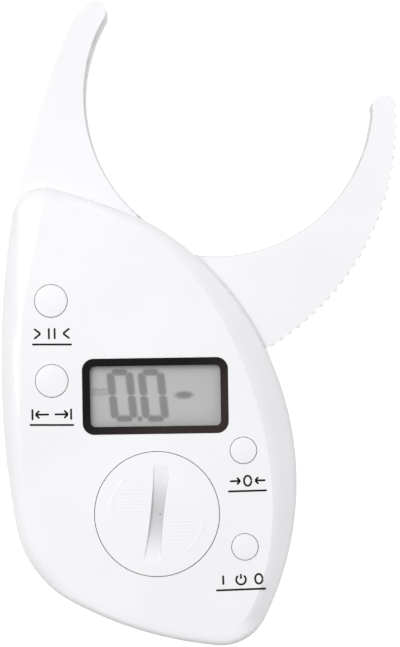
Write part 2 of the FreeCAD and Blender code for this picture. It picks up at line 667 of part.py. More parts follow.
def closing_angle():
    """The turn that brings the measuring pads together, and the direction between them."""
    fixed, moving = spot("fixed_tip"), moving_tip()
    apart = 2 * (size("tip_radius") - size("pad_depth")) + size("pad_gap")
    cosine = ((fixed.Length ** 2 + moving.Length ** 2 - apart ** 2)
              / (2 * fixed.Length * moving.Length))
    turn = angle_of(fixed) - angle_of(moving) - math.degrees(math.acos(cosine))
    closed = polar(Vector(), moving.Length, angle_of(moving) + turn)
    return turn, angle_of(closed - fixed)


def pad_cutter(centre, direction, bottom, top):
    """A block that takes the flat measuring pad off a round tip."""
    reach = size("tip_radius")
    box = Part.makeBox(reach, 2 * reach, top - bottom,
                       Vector(reach - size("pad_depth"), -reach, bottom))
    box.rotate(Vector(), UP, direction)
    box.translate(centre)
    return box


def grooves(edge, bottom, top):
    """Upright finger grooves at an even pitch along an arc, on its outer side."""
    count = int(edge.Length / size("groove_spacing"))
    centre, cutters = edge.Curve.Center, []
    for number in range(count):
        place = edge.valueAt(share_of(edge, (number + 0.5) / count))
        out = edge.Curve.Radius + size("groove_radius") - size("groove_depth")
        cutters.append(cylinder(size("groove_radius"), bottom, top, toward(centre, place, out)))
    return cutters


def soft_edges(solid, bottom, top, keep):
    """Rounds the long front and back edges of a jaw where a test on their middle says so."""
    chosen = []
    for edge in solid.Edges:
        box = edge.BoundBox
        flat = box.ZLength < 1e-6 and min(abs(box.ZMin - bottom), abs(box.ZMin - top)) < 1e-6
        middle = edge.valueAt(share_of(edge, 0.5))
        if flat and keep(Vector(middle.x, middle.y, 0)):
            chosen.append(edge)
    return solid.makeFillet(size("jaw_edge_round"), chosen)


def tube(outer, inner, bottom, top, centre=Vector()):
    """An upright ring."""
    return cylinder(outer, bottom, top, centre).cut(cylinder(inner, bottom, top, centre))


def rounded_block(x, y, width, depth, bottom, top, corner):
    """A box with rounded upright edges, centred at x, y."""
    solid = Part.makeBox(width, depth, top - bottom, Vector(x - width / 2, y - depth / 2, bottom))
    upright = [edge for edge in solid.Edges if edge.BoundBox.ZLength > 1e-6]
    return solid.makeFillet(corner, upright)


def spots(stem):
    """The places of one kind of fastener."""
    return [spot(corner) + Vector(size(f"{stem}_{number}_right"), size(f"{stem}_{number}_up"), 0)
            for number, (corner, _, _) in enumerate(PLACES[stem], start=1)]


# ---------------------------------------------------------------- heights and clearances

top_face, parting = value(FRONT), value(PARTING)
wall, floor = size("shell_wall"), size("floor_thickness")
jaw_low, jaw_high = size("jaw_underside"), value(JAW_TOP)
board_low, board_high = value(BOARD_BOTTOM), value(BOARD_TOP)
wall_under, door_low = value(WALL_UNDERSIDE), value(DOOR_BOTTOM)
fit = size("fit_gap")
closing, pad_direction = closing_angle()
well_top = size("well_seat") + size("seat_thickness")
jaw_seat = jaw_low + value("screw_head_height + fit_gap")
column = Vector(size("column_x"), 0, 0)
door_centre = Vector(size("column_x"), size("door_y"), 0)
door_radius = value(DOOR_RADIUS)
pivot_top = value(PIVOT_TOP)
everywhere = 2 * (CORNERS[0] - CORNERS[2]).Length
screw_places, post_places, (jaw_screw_place,) = spots("screw"), spots("post"), spots("jaw_screw")


def in_fixed_jaw(place):
    """True along the free edges of the fixed jaw, false inside the casing."""
    return place.y > size("arm_root_y") or place.distanceToPoint(
        fixed_bore()) < size("jaw_radius") + 1e-3


def fixed_jaw():
    """The whole fixed jaw before it is parted: round tip, soft edges, grooves and pad."""
    solid = soft_edges(fixed_jaw_prism(jaw_low, jaw_high), jaw_low, jaw_high, in_fixed_jaw)
    solid = solid.cut(grooves(FIXED_BACK, 0, top_face))
    return solid.cut(pad_cutter(spot("fixed_tip"), pad_direction, 0, top_face))


def fixed_jaw_hollow():
    """The closed space inside the fixed jaw, between its back and its inner edge."""
    throat = spot("throat")
    block_low = Vector(size("brow_left_x") - wall, throat.y, jaw_low + size("jaw_wall"))
    hollow = Part.makeBox(throat.x - block_low.x, SHOULDER.y - 2 * size("jaw_wall") - throat.y,
                          jaw_high - jaw_low - 2 * size("jaw_wall"), block_low)
    back = FIXED_BACK.Curve
    hollow = hollow.common(cylinder(back.Radius - size("jaw_wall") - size("groove_depth"),
                                    0, top_face, back.Center))
    hollow = hollow.cut(cylinder(size("jaw_radius") + size("jaw_wall"), 0, top_face,
                                 fixed_bore()))
    return hollow.cut(casing_prism(0, 0, top_face))


def jaw_slot():
    """The space that the moving jaw sweeps through the casing's side, with its clearance."""
    low = jaw_low - size("jaw_gap") + fit
    high = jaw_high + size("jaw_gap")
    gap, reach = size("jaw_gap"), 3 * size("hub_radius")
    start = angle_of(Vector(size("grip_end_x"), -size("hub_radius"), 0))
    swept = cylinder(reach, low, high, Vector(), closing - start, start)
    open_jaw = moving_jaw_prism(gap, low, high)[0]
    closed_jaw = open_jaw.copy()
    closed_jaw.rotate(Vector(), UP, closing)
    return swept.fuse([open_jaw, closed_jaw]).common(cylinder(reach, low, high))


FIXED_JAW, HOLLOW, SLOT = fixed_jaw(), fixed_jaw_hollow(), jaw_slot()
SLAB = Part.makeBox(2 * everywhere, 2 * everywhere, parting, Vector(-everywhere, -everywhere, 0))
DOME = domed(casing_prism(0, 0, top_face), top_face, 0)


# ---------------------------------------------------------------- back shell

def rear_case():
    """Tray with the back half of the fixed jaw, the pivot boss, screw wells and ribs."""
    seam_low = parting - size("seam_height")
    outer = casing_prism(0, 0, seam_low)
    back_edges = [edge for edge in outer.Edges if edge.BoundBox.ZMax < 1e-6]
    outer = outer.makeFillet(size("back_edge_round"), back_edges)
    outer = outer.fuse(casing_prism(size("seam_depth"), seam_low, parting))
    shell = outer.fuse(FIXED_JAW.common(SLAB))
    shell = shell.cut([casing_prism(wall, floor, parting), HOLLOW])
    lip_inset = wall - size("lip_thickness")
    lip_top = parting + size("lip_height")
    lip = casing_prism(lip_inset, parting - fit, lip_top).cut(
        casing_prism(wall, parting - 2 * fit, lip_top + fit))
    shell = shell.fuse(lip).cut(SLOT)
    room = casing_prism(wall / 2, floor - fit, parting)
    additions = [cylinder(size("well_radius"), floor / 2, well_top, place)
                 for place in screw_places]
    additions += [rib.common(room) for rib in ribs()]
    thrust = value(THRUST_OUTER)
    additions.append(tube(thrust, thrust - size("thrust_width"), floor / 2,
                          jaw_low - size("thrust_gap")))
    additions.append(cylinder(size("pivot_radius"), floor / 2, pivot_top))
    additions.append(cylinder(size("well_radius"), jaw_seat, parting - fit, jaw_screw_place))
    shell = shell.fuse(additions)
    head_room = size("screw_head_radius") + size("head_gap")
    holes = []
    for place in screw_places:
        holes.append(cylinder(head_room, -1, size("well_seat"), place))
        holes.append(cylinder(size("screw_radius") + fit, 0, parting, place))
    holes.append(cylinder(head_room, 0, jaw_seat, jaw_screw_place))
    holes.append(cylinder(size("screw_radius") + fit, 0, parting, jaw_screw_place))
    screw_end = pivot_top + size("washer_thickness") - size("pivot_screw_length")
    holes.append(cylinder(size("screw_radius"), screw_end - fit, top_face))
    leg = size("spring_wire") / 2
    holes.append(cylinder(leg + fit, floor - size("spring_leg") - fit, parting,
                          Vector(size("spring_radius"), 0, 0)))
    return shell.cut(holes).removeSplitter()


def ribs():
    """Straight ribs across the floor of the back shell."""
    made = []
    for number in range(int(size("rib_count"))):
        y = size("rib_first_y") - number * size("rib_spacing") - size("rib_thickness") / 2
        made.append(Part.makeBox(2 * everywhere, size("rib_thickness"), size("rib_height") + fit,
                                 Vector(-everywhere, y, floor - fit)))
    return made


shape_part(rear_case(), "rear_case")


# ---------------------------------------------------------------- front shell

def door_collar():
    """Collar round the battery door with the ledge that its lugs turn under."""
    outer = door_radius + size("door_gap") + size("collar_wall")
    lug_room = value(LUG_OUTER) + size("door_gap")
    bore = value(SKIRT_OUTER) + size("door_gap")
    under_ledge = door_low - size("ledge_thickness")
    collar = cylinder(outer, board_high + 2 * fit, wall_under + wall / 2, door_centre)
    collar = collar.cut([cylinder(lug_room, 0, under_ledge, door_centre),
                         cylinder(bore, 0, top_face, door_centre),
                         cylinder(outer - size("collar_wall"), door_low, top_face, door_centre)])
    notches = [cylinder(lug_room, under_ledge - fit, top_face, door_centre,
                        size("notch_angle"),
                        side + size("door_turn") - size("notch_angle") / 2)
               for side in (0, 180)]
    return collar.cut(notches)


def front_openings():
    """Display and button holes through the front wall."""
    play = fit / 2
    cutters = [rounded_block(size("column_x"), value(DISPLAY_Y),
                             value(BEZEL_WIDTH) + 2 * play, value(BEZEL_HEIGHT) + 2 * play,
                             wall_under - wall, top_face + 1, size("bezel_corner") + play)]
    for name, side in BUTTONS:
        cutters.append(cylinder(size(side + "_button_radius") + size("button_gap"),
                                wall_under - wall, top_face + 1, spot(name)))
    return cutters


def front_cover():
    """Dome with the front half of the fixed jaw, screw bosses, posts and the door's collar."""
    outer = DOME.cut(SLAB).fuse(FIXED_JAW.cut(SLAB))
    room = domed(casing_prism(wall, 0, wall_under), wall_under, wall)
    rebate_top = parting + size("lip_height") + fit
    rebate = casing_prism(wall - size("lip_thickness") - fit, parting - fit, rebate_top)
    shell = outer.cut([room, HOLLOW, SLOT, rebate])
    into_wall = wall_under + wall / 2
    additions = [cylinder(size("boss_radius"), well_top + fit, into_wall, place).common(DOME)
                 for place in screw_places]
    additions += [cylinder(size("post_radius"), board_high, into_wall, place).common(DOME)
                  for place in post_places]
    jaw_boss_top = jaw_high - size("jaw_wall") / 2
    additions.append(cylinder(size("boss_radius"), parting, jaw_boss_top, jaw_screw_place))
    shell = shell.cut(cylinder(door_radius + size("door_gap"), parting, top_face + 1, door_centre))
    shell = shell.fuse(additions + [door_collar()])
    shank = size("screw_radius")
    holes = front_openings()
    holes += [cylinder(shank, parting - wall, size("well_seat") + size("screw_length") + fit,
                       place) for place in screw_places]
    holes += [cylinder(shank, board_low, board_low + size("board_screw_length") + fit, place)
              for place in post_places]
    holes.append(cylinder(shank, jaw_low, jaw_seat + size("jaw_screw_length") + fit,
                          jaw_screw_place))
    return shell.cut(holes).removeSplitter()


shape_part(front_cover(), "front_cover")


# ---------------------------------------------------------------- moving jaw and its pivot

def moving_jaw():
    """Jaw with round tip, grooved back and a hub that is bored and pocketed."""
    solid, back = moving_jaw_prism(0, jaw_low, jaw_high)
    root, neck = moving_jaw_corners(0)
    solid = rounded_upright(solid, root, size("grip_end_round"))
    solid = rounded_upright(solid, neck, size("tip_neck_round"))
    outside_hub = size("hub_radius") + 1
    solid = soft_edges(solid, jaw_low, jaw_high,
                       lambda middle: middle.x > outside_hub and middle.y > -outside_hub
                       or middle.x > size("grip_end_x"))
    solid = solid.cut(grooves(back, 0, top_face))
    solid = solid.cut(pad_cutter(moving_tip(), pad_direction + 180 - closing, 0, top_face))
    bore_top = pivot_top - size("washer_gap")
    rotor_low = jaw_high - size("rotor_thickness")
    pocket_top = value("floor_thickness + spring_turns * spring_spacing + spring_wire"
                       " + 2 * spring_gap")
    half_wire = size("spring_wire") / 2 + size("spring_gap")
    solid = solid.cut([
        cylinder(size("pivot_radius") + size("running_gap"), 0, top_face),
        cylinder(size("washer_radius") + size("jaw_gap"), bore_top, top_face),
        tube(value(ROTOR_OUTER) + fit / 2, value(ROTOR_INNER) - fit / 2, rotor_low, top_face),
        tube(size("spring_radius") + half_wire, size("spring_radius") - half_wire, 0, pocket_top),
        cylinder(size("spring_wire") / 2 + fit, 0, pocket_top + size("spring_leg") + fit,
                 Vector(size("spring_radius"), 0, 0)),
    ])
    return solid


def jaw_spring():
    """Helical spring round the pivot, with one leg into the floor and one into the hub."""
    wire, radius = size("spring_wire") / 2, size("spring_radius")
    rise = size("spring_turns") * size("spring_spacing")
    start = floor + size("spring_gap") + wire
    coil = Part.makeHelix(size("spring_spacing"), rise, radius)
    slope = Vector(0, 2 * math.pi * radius, size("spring_spacing"))
    section = Part.Wire(Part.Edge(Part.Circle(Vector(radius, 0, 0), slope, wire)))
    body = Part.Wire(coil).makePipeShell([section], True, True)
    body.translate(UP * start)
    ends = [(start - size("spring_leg") - size("spring_gap") - wire, start),
            (start + rise, start + rise + wire + size("spring_gap") + size("spring_leg"))]
    solid = body
    for low, high in ends:
        solid = solid.fuse(cylinder(wire, low, high, Vector(radius, 0, 0)))
    for height in (start, start + rise):
        solid = solid.fuse(Part.makeSphere(wire, Vector(radius, 0, height)))
    return solid


shape_part(moving_jaw(), "moving_jaw")
shape_part(jaw_spring(), "jaw_spring")
finish_part(cut("rotor_ring",
                disc("rotor_disc", "0", "0", ROTOR_OUTER, f"{JAW_TOP} - rotor_thickness", JAW_TOP),
                disc("rotor_hole", "0", "0", ROTOR_INNER, f"{JAW_TOP} - rotor_thickness", JAW_TOP)),
            "sensor_ring")
finish_part(turned("pivot_washer", [("screw_radius + fit_gap", PIVOT_TOP),
                                    ("washer_radius", PIVOT_TOP),
                                    ("washer_radius", WASHER_TOP),
                                    ("screw_radius + fit_gap", WASHER_TOP)]), "pivot_washer")


# ---------------------------------------------------------------- fasteners

def screw(name, x, y, seat, length, head_radius, head_height, points_up=True):
    """A pan-head screw with a cross recess; its head seats at a height and points away."""
    end, head_end, lower = ((f"{seat} + {length}", f"{seat} - {head_height}", True) if points_up
                            else (f"{seat} - {length}", f"{seat} + {head_height}", False))
    shank = disc(name + "_shank", x, y, "screw_radius", *((seat, end) if lower else (end, seat)))
    head = disc(name + "_head", x, y, head_radius,
                *((head_end, seat) if lower else (seat, head_end)))
    inner = f"{head_end} + recess_depth" if lower else f"{head_end} - recess_depth"
    span = f"2 * {head_radius} * recess_share"
    low, high = (head_end, inner) if lower else (inner, head_end)
    return cut(name, fuse(name + "_blank", shank, head),
               block(name + "_recess_a", x, y, span, "recess_width", low, high),
               block(name + "_recess_b", x, y, "recess_width", span, low, high))


def screw_set(label, stem, *sizes):
    """One object with a screw at each place of its kind."""
    made = [screw(f"{label}_{n}", f"{corner}_x + {stem}_{n}_right", f"{corner}_y + {stem}_{n}_up",
                  *sizes)
            for n, (corner, _, _) in enumerate(PLACES[stem], start=1)]
    finish_part(group(label + "_set", *made) if len(made) > 1 else made[0], label)


screw_set("casing_screws", "screw", "well_seat", "screw_length", "screw_head_radius",
          "screw_head_height")
screw_set("jaw_screw", "jaw_screw", "( jaw_underside + screw_head_height + fit_gap )",
          "jaw_screw_length", "screw_head_radius", "screw_head_height")
screw_set("board_screws", "post", BOARD_BOTTOM, "board_screw_length", "board_head_radius",
          "board_head_height")
finish_part(screw("pivot_screw_solid", "0", "0", WASHER_TOP, "pivot_screw_length",
                  "pivot_head_radius", "pivot_head_height", points_up=False), "pivot_screw")


# ---------------------------------------------------------------- main board

def main_board():
    """Board that follows the casing, with holes for the pivot screw, bosses and screws."""
    board = casing_prism(size("board_inset"), board_low, board_high)
    holes = [cylinder(size("boss_radius") + size("head_gap"), 0, top_face, place)
             for place in screw_places]
    holes += [cylinder(size("screw_radius") + fit, 0, top_face, place) for place in post_places]
    holes.append(cylinder(size("pivot_head_radius") + 2 * size("head_gap"), 0, top_face))
    return board.cut(holes)


shape_part(main_board(), "main_board")
finish_part(block("controller_box", "chip_x", "chip_y", "chip_side", "chip_side",
                  f"{BOARD_BOTTOM} - chip_height", BOARD_BOTTOM), "controller_chip")

first_row = f"{DISPLAY_Y} - small_chip_row"
second_row = f"{DISPLAY_Y} - small_chip_row - small_chip_rows"
# Each small package: its steps right of the display's centre line, and its row.
SMALL_CHIPS = [(-3, first_row), (-2, first_row), (-1, first_row), (0, first_row),
               (-3, second_row), (-2, second_row), (2, second_row), (3, second_row)]
board_parts = [block(f"board_part_{n}", f"column_x + {steps} * small_chip_step", y,
                     "small_chip_width", "small_chip_depth", f"{BOARD_BOTTOM} - small_chip_height",
                     BOARD_BOTTOM)
               for n, (steps, y) in enumerate(SMALL_CHIPS, start=1)]
board_parts.append(disc("crystal_can", "chip_x - can_step", "chip_y", "can_radius",
                        f"{BOARD_BOTTOM} - can_height", BOARD_BOTTOM))
finish_part(group("board_parts", *board_parts), "board_components")

switch_boxes = []
for name, side in BUTTONS:
    housing = block(f"{name}_switch_box", f"{name}_x", f"{name}_y", "switch_side", "switch_side",
                    BOARD_TOP, SWITCH_TOP)
    well = disc(f"{name}_switch_well", f"{name}_x", f"{name}_y", "plunger_radius + fit_gap / 2",
                f"( {SWITCH_TOP} - plunger_depth - button_travel - fit_gap )", SWITCH_TOP)
    switch_boxes.append(cut(f"{name}_switch", housing, well))
    finish_part(disc(f"{name}_plunger_pin", f"{name}_x", f"{name}_y", "plunger_radius",
                     f"( {SWITCH_TOP} - plunger_depth )", PLUNGER_TOP), f"{name}_plunger")
finish_part(group("switch_set", *switch_boxes), "push_switches")


# ---------------------------------------------------------------- buttons

def button(name, side):
    """A turned button: crown, rim, shank, keeper flange and the stem on its switch. The crown
    is a parabola, so half its radius out it has three quarters of its rise."""
    radius = f"{side}_button_radius"
    rim = f"( {FRONT} + button_proud )"
    bevel = "button_proud"
    return turned(f"{name}_button", [
        ("0", PLUNGER_TOP), ("stem_radius", PLUNGER_TOP),
        ("stem_radius", FLANGE_BOTTOM), (f"{radius} + flange_width", FLANGE_BOTTOM),
        (f"{radius} + flange_width", FLANGE_TOP), (radius, FLANGE_TOP),
        (radius, f"{rim} - {bevel}"), (f"{radius} - {bevel}", rim),
        (f"{radius} / 2", f"{rim} + 3 / 4 * button_crown"), ("0", f"{rim} + button_crown"),
    ], f"{name}_x", f"{name}_y")


for name, side in BUTTONS:
    finish_part(button(name, side), f"{name}_button")


# ---------------------------------------------------------------- display

def bezel():
    """Border frame with a pocket behind it for the window."""
    outer = plate("bezel_outer", "column_x", DISPLAY_Y, BEZEL_WIDTH, BEZEL_HEIGHT, WALL_UNDERSIDE,
                  BEZEL_TOP, "bezel_corner")
    opening = plate("bezel_opening", "column_x", DISPLAY_Y, OPENING_WIDTH, OPENING_HEIGHT,
                    WALL_UNDERSIDE, BEZEL_TOP, "bezel_inner_corner")
    pocket = block("bezel_pocket", "column_x", DISPLAY_Y,
                   f"{OPENING_WIDTH} + 2 * window_lap + fit_gap",
                   f"{OPENING_HEIGHT} + 2 * window_lap + fit_gap",
                   f"( {WALL_UNDERSIDE} - shell_wall )", WINDOW_TOP)
    return cut("bezel_frame", outer, opening, pocket)


def glass_block(name, width, depth, bottom, top, shift="0"):
    """A block centred on the display, or a little above or below its centre."""
    return block(name, "column_x", f"{DISPLAY_Y} + {shift}", width, depth, bottom, top)


finish_part(bezel(), "display_bezel")
finish_part(plate("window", "column_x", DISPLAY_Y, f"{OPENING_WIDTH} + 2 * window_lap",
                  f"{OPENING_HEIGHT} + 2 * window_lap", WINDOW_BOTTOM, WINDOW_TOP),
            "display_window")
pane_joint = f"( {GLASS_BOTTOM} + lcd_pane )"
finish_part(fuse("glass_panes",
                 glass_block("glass_lower", "lcd_width", "lcd_height", GLASS_BOTTOM, pane_joint),
                 glass_block("glass_upper", "lcd_width", "lcd_height - lcd_ledge", pane_joint,
                             GLASS_TOP, "lcd_ledge / 2")),
            "lcd_glass")
finish_part(cut("glass_frame",
                glass_block("glass_frame_outer", "lcd_width + 2 * frame_wall + fit_gap",
                            "lcd_height + 2 * frame_wall + fit_gap", BOARD_TOP, GLASS_TOP),
                glass_block("glass_frame_inner", "lcd_width + fit_gap", "lcd_height + fit_gap",
                            BOARD_TOP, GLASS_TOP)), "lcd_frame")
strips = [glass_block(f"strip_{n}", "lcd_width - 2 * frame_wall", "strip_width", BOARD_TOP,
                      GLASS_BOTTOM, f"{side} * ( lcd_height - strip_width ) / 2")
          for n, side in enumerate((-1, 1), start=1)]
finish_part(group("strip_pair", *strips), "lcd_contact_strips")


# ---------------------------------------------------------------- battery and its door

def battery_door():
    """Turned plate and skirt with two bayonet lugs, and a coin groove with a round bottom."""
    x, y = "column_x", "door_y"
    skirt_low = f"( {DOOR_BOTTOM} - skirt_height )"
    blank = turned("door", [
        (SKIRT_INNER, skirt_low), (SKIRT_OUTER, skirt_low), (SKIRT_OUTER, DOOR_BOTTOM),
        (DOOR_RADIUS, DOOR_BOTTOM), (DOOR_RADIUS, f"{DOOR_TOP} - door_proud"),
        (f"{DOOR_RADIUS} - door_proud", DOOR_TOP), ("0", DOOR_TOP), ("0", DOOR_BOTTOM),
        (SKIRT_INNER, DOOR_BOTTOM),
    ], x, y)
    lugs = []
    for number, side in enumerate((0, 180), start=1):
        lug = disc(f"lug_{number}", x, y, LUG_OUTER, skirt_low, f"( {skirt_low} + lug_height )")
        bind(lug, Angle="lug_angle")
        lug.Placement.Rotation = Rotation(UP, side - size("lug_angle") / 2)
        lugs.append(lug)
    hollow = disc("skirt_hollow", x, y, SKIRT_INNER, skirt_low, DOOR_BOTTOM)
    wheel_radius = "( ( coin_length / 2 ) ^ 2 + coin_depth ^ 2 ) / ( 2 * coin_depth )"
    wheel = primitive("Cylinder", "coin_wheel", Radius=wheel_radius, Height="coin_width")
    across = Rotation(UP, size("coin_angle") + 90) * Rotation(Vector(0, 1, 0), 90)
    axis = across.multVec(UP)
    wheel.Placement.Rotation = across
    bind(wheel, x=f"{x} - coin_width / 2 * {axis.x:.6f}", y=f"{y} - coin_width / 2 * {axis.y:.6f}",
         z=f"{DOOR_TOP} - coin_depth + {wheel_radius}")
    return cut("door_grooved", fuse("door_blank", blank, *lugs), hollow, wheel)


finish_part(battery_door(), "battery_door")
finish_part(turned("cell", [
    ("0", CELL_BOTTOM), ("cell_pole_radius", CELL_BOTTOM),
    ("cell_pole_radius", f"{CELL_BOTTOM} + cell_pole_step"),
    ("cell_radius", f"{CELL_BOTTOM} + cell_pole_step"),
    ("cell_radius", f"{CELL_TOP} - cell_gap"), ("cell_radius - cell_gap", CELL_TOP),
    ("0", CELL_TOP)], "column_x", "door_y"), "coin_cell")

clip_x = "( column_x + cell_radius + contact_thickness / 2 )"
finish_part(cut("holder_ring",
                disc("holder_outer", "column_x", "door_y", HOLDER_OUTER, BOARD_TOP, HOLDER_TOP),
                disc("holder_inner", "column_x", "door_y", "cell_radius + cell_gap", BOARD_TOP,
                     HOLDER_TOP),
                block("holder_notch", f"column_x + {HOLDER_OUTER}", "door_y",
                      f"2 * {HOLDER_OUTER}", "contact_width + 4 * fit_gap", BOARD_TOP,
                      HOLDER_TOP)), "cell_holder")
finish_part(fuse("clip",
                 block("clip_upright", clip_x, "door_y", "contact_thickness", "contact_width",
                       BOARD_TOP, HOLDER_TOP),
                 block("clip_foot", f"{clip_x} + holder_wall / 2", "door_y", "holder_wall",
                       "contact_width", BOARD_TOP, f"( {BOARD_TOP} + contact_thickness )")),
            "positive_contact")
finish_part(fuse("leaf",
                 block("leaf_strip", "column_x", "door_y", "cell_radius", "contact_width",
                       BOARD_TOP, f"( {BOARD_TOP} + contact_thickness )"),
                 disc("leaf_dimple", "column_x", "door_y", "contact_width / 4", BOARD_TOP,
                      CELL_BOTTOM)), "negative_contact")


# ---------------------------------------------------------------- checks and files

def write_parts():
    """Stops at any failed object or bad shape, then writes one STEP file per sub-part."""
    doc.recompute()
    failed = [o.Name for o in doc.Objects if "Invalid" in o.State or "Error" in o.State]
    if failed:
        raise RuntimeError(f"failed objects: {failed}")
    for obj, label in finished:
        if obj.Shape.isNull() or not obj.Shape.isValid() or not obj.Shape.Solids:
            raise RuntimeError(f"{label} has a bad shape")
    os.makedirs("parts", exist_ok=True)
    for obj, label in finished:
        obj.Shape.exportStep(f"parts/{label}.step")
        print(f"{label}: {len(obj.Shape.Solids)} solid(s), {obj.Shape.Volume:.1f} mm3")
    print(f"the moving jaw closes by {closing:.3f} degrees")


write_parts()
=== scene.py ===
import json
import math

import bmesh
import bpy
import numpy as np
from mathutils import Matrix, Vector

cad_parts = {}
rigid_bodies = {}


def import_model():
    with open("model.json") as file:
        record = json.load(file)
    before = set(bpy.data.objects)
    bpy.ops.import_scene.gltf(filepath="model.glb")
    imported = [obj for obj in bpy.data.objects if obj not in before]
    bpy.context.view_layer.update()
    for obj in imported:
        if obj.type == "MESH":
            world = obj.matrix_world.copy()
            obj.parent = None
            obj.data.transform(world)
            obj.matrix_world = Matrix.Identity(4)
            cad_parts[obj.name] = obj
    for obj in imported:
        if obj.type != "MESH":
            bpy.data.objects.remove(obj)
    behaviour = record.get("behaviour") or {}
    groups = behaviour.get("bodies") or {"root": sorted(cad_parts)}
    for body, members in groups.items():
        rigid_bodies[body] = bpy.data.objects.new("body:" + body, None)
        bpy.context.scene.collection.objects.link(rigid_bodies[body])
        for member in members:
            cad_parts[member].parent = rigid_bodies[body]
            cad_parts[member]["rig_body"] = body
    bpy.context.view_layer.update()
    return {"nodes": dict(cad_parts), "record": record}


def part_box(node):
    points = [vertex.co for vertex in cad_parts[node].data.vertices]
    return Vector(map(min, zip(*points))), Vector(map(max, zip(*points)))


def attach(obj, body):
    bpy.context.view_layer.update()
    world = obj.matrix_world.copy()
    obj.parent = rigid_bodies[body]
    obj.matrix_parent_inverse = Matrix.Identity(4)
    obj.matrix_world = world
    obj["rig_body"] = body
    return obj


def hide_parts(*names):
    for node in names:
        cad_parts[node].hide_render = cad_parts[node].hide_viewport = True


# A digital skinfold caliper lying on its flat back: white moulded casing and jaws, a display in
# a black frame, four push buttons with printed signs and a battery door that a coin turns.
# Lengths are in millimetres until a mesh is made; MM turns them into metres. A constant with two
# numbers gives where a smooth rise or fall starts and where it ends, unless it is a place.

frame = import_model()
NODES = frame["nodes"]
MM = 0.001


def low_high(node):
    """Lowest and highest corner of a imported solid, in millimetres."""
    low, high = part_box(node)
    return np.array(low) / MM, np.array(high) / MM


FACE = low_high("front_cover")[1][2]
BACK = low_high("rear_case")[0][2]
DOOR_LOW, DOOR_HIGH = low_high("battery_door")
WINDOW_LOW, WINDOW_HIGH = low_high("display_window")
GLASS_TOP = low_high("lcd_glass")[1][2]
BEZEL_MIDDLE = sum(low_high("display_bezel")) / 2
PARTING = 6.3  # height of the seam between the two shells


# ---------------------------------------------------------------- shader maths

class Value:
    """A shader socket that takes part in sums: each operator adds one Math node."""

    def __init__(self, nodes, socket):
        self.nodes, self.socket = nodes, socket

    def maths(self, operation, *values):
        """Adds a Math node over the values."""
        numbers = dict(enumerate(values))
        return self.nodes.node("ShaderNodeMath", {"operation": operation}, numbers)

    def __add__(self, other):
        return self.maths("ADD", self, other)

    def __mul__(self, other):
        return self.maths("MULTIPLY", self, other)

    def __sub__(self, other):
        return self.maths("SUBTRACT", self, other)

    def __rsub__(self, other):
        return self.maths("SUBTRACT", other, self)

    __radd__, __rmul__ = __add__, __mul__

    def size(self):
        """The value without its sign."""
        return self.maths("ABSOLUTE", self)

    def step(self, low, high):
        """0 below low, 1 above high and a smooth rise between."""
        settings = {"interpolation_type": "SMOOTHSTEP"}
        return self.nodes.node("ShaderNodeMapRange", settings, {0: self, 1: low, 2: high})


class Nodes:
    """A node tree while it is made, with the one method that adds nodes."""

    def __init__(self, tree):
        self.tree = tree

    def feed(self, socket, value):
        """Links a value to a socket, or sets a constant on it."""
        if isinstance(value, Value):
            self.tree.links.new(value.socket, socket)
        elif socket.type == "RGBA":
            socket.default_value = (*value, 1.0)
        else:
            socket.default_value = value

    def node(self, kind, settings=None, inputs=None, out=0):
        """Adds a node: its settings come first, then the values or links of its sockets."""
        made = self.tree.nodes.new(kind)
        for key, setting in (settings or {}).items():
            setattr(made, key, setting)
        for key, value in (inputs or {}).items():
            self.feed(made.inputs[key], value)
        return Value(self, made.outputs[out])

    def split(self, vector):
        """The three parts of a vector."""
        outputs = self.node("ShaderNodeSeparateXYZ", None, {0: vector}).socket.node.outputs
        return [Value(self, socket) for socket in outputs]

    def seen(self):
        """1 for camera rays, mirrored rays and rays through clear parts, and 0 for others."""
        rays = self.node("ShaderNodeLightPath").socket.node.outputs
        camera, mirrored, through = [Value(self, rays["Is " + kind + " Ray"])
                                     for kind in ("Camera", "Glossy", "Transmission")]
        return camera + mirrored + through


class Finish(Nodes):
    """A material while it is made, with its main shader and its patterns."""

    def __init__(self, name, **constants):
        self.material = bpy.data.materials.new(name)
        self.material.use_nodes = True
        super().__init__(self.material.node_tree)
        self.shader = self.tree.nodes["Principled BSDF"]
        self.place = self.node("ShaderNodeTexCoord", out="Object")
        for socket, constant in constants.items():
            self.set(socket.replace("_", " "), constant)

    def set(self, socket, value):
        """Feeds a socket of the main shader."""
        self.feed(self.shader.inputs[socket], value)

    def axes(self):
        """The three Object coordinates, in millimetres."""
        return [part * (1 / MM) for part in self.split(self.place)]

    def noise(self, spacing, detail=2.0):
        """Cloudy noise whose lumps are about spacing millimetres apart, from 0 to 1."""
        inputs = {"Vector": self.place, "Scale": 1 / (spacing * MM), "Detail": detail}
        return self.node("ShaderNodeTexNoise", None, inputs)

    def blend(self, share, first, second):
        """One colour turning into another."""
        settings = {"data_type": "RGBA"}
        return self.node("ShaderNodeMix", settings, {0: share, 6: first, 7: second}, out=2)

    def attribute(self, name):
        """A number that the mesh keeps at its corners."""
        return self.node("ShaderNodeAttribute", {"attribute_name": name}, out="Fac")

    def bump(self, height, depth):
        """Raises the surface by height times depth millimetres, in the shading only."""
        inputs = {"Strength": 1.0, "Distance": depth * MM, "Height": height}
        self.set("Normal", self.node("ShaderNodeBump", None, inputs))

    def mix_in(self, share, other):
        """Turns the main shader into another one by a share."""
        shaders = {0: share, 1: Value(self, self.shader.outputs[0]), 2: other}
        mixed = self.node("ShaderNodeMixShader", None, shaders)
        self.feed(self.tree.nodes["Material Output"].inputs["Surface"], mixed)


# ---------------------------------------------------------------- finishes

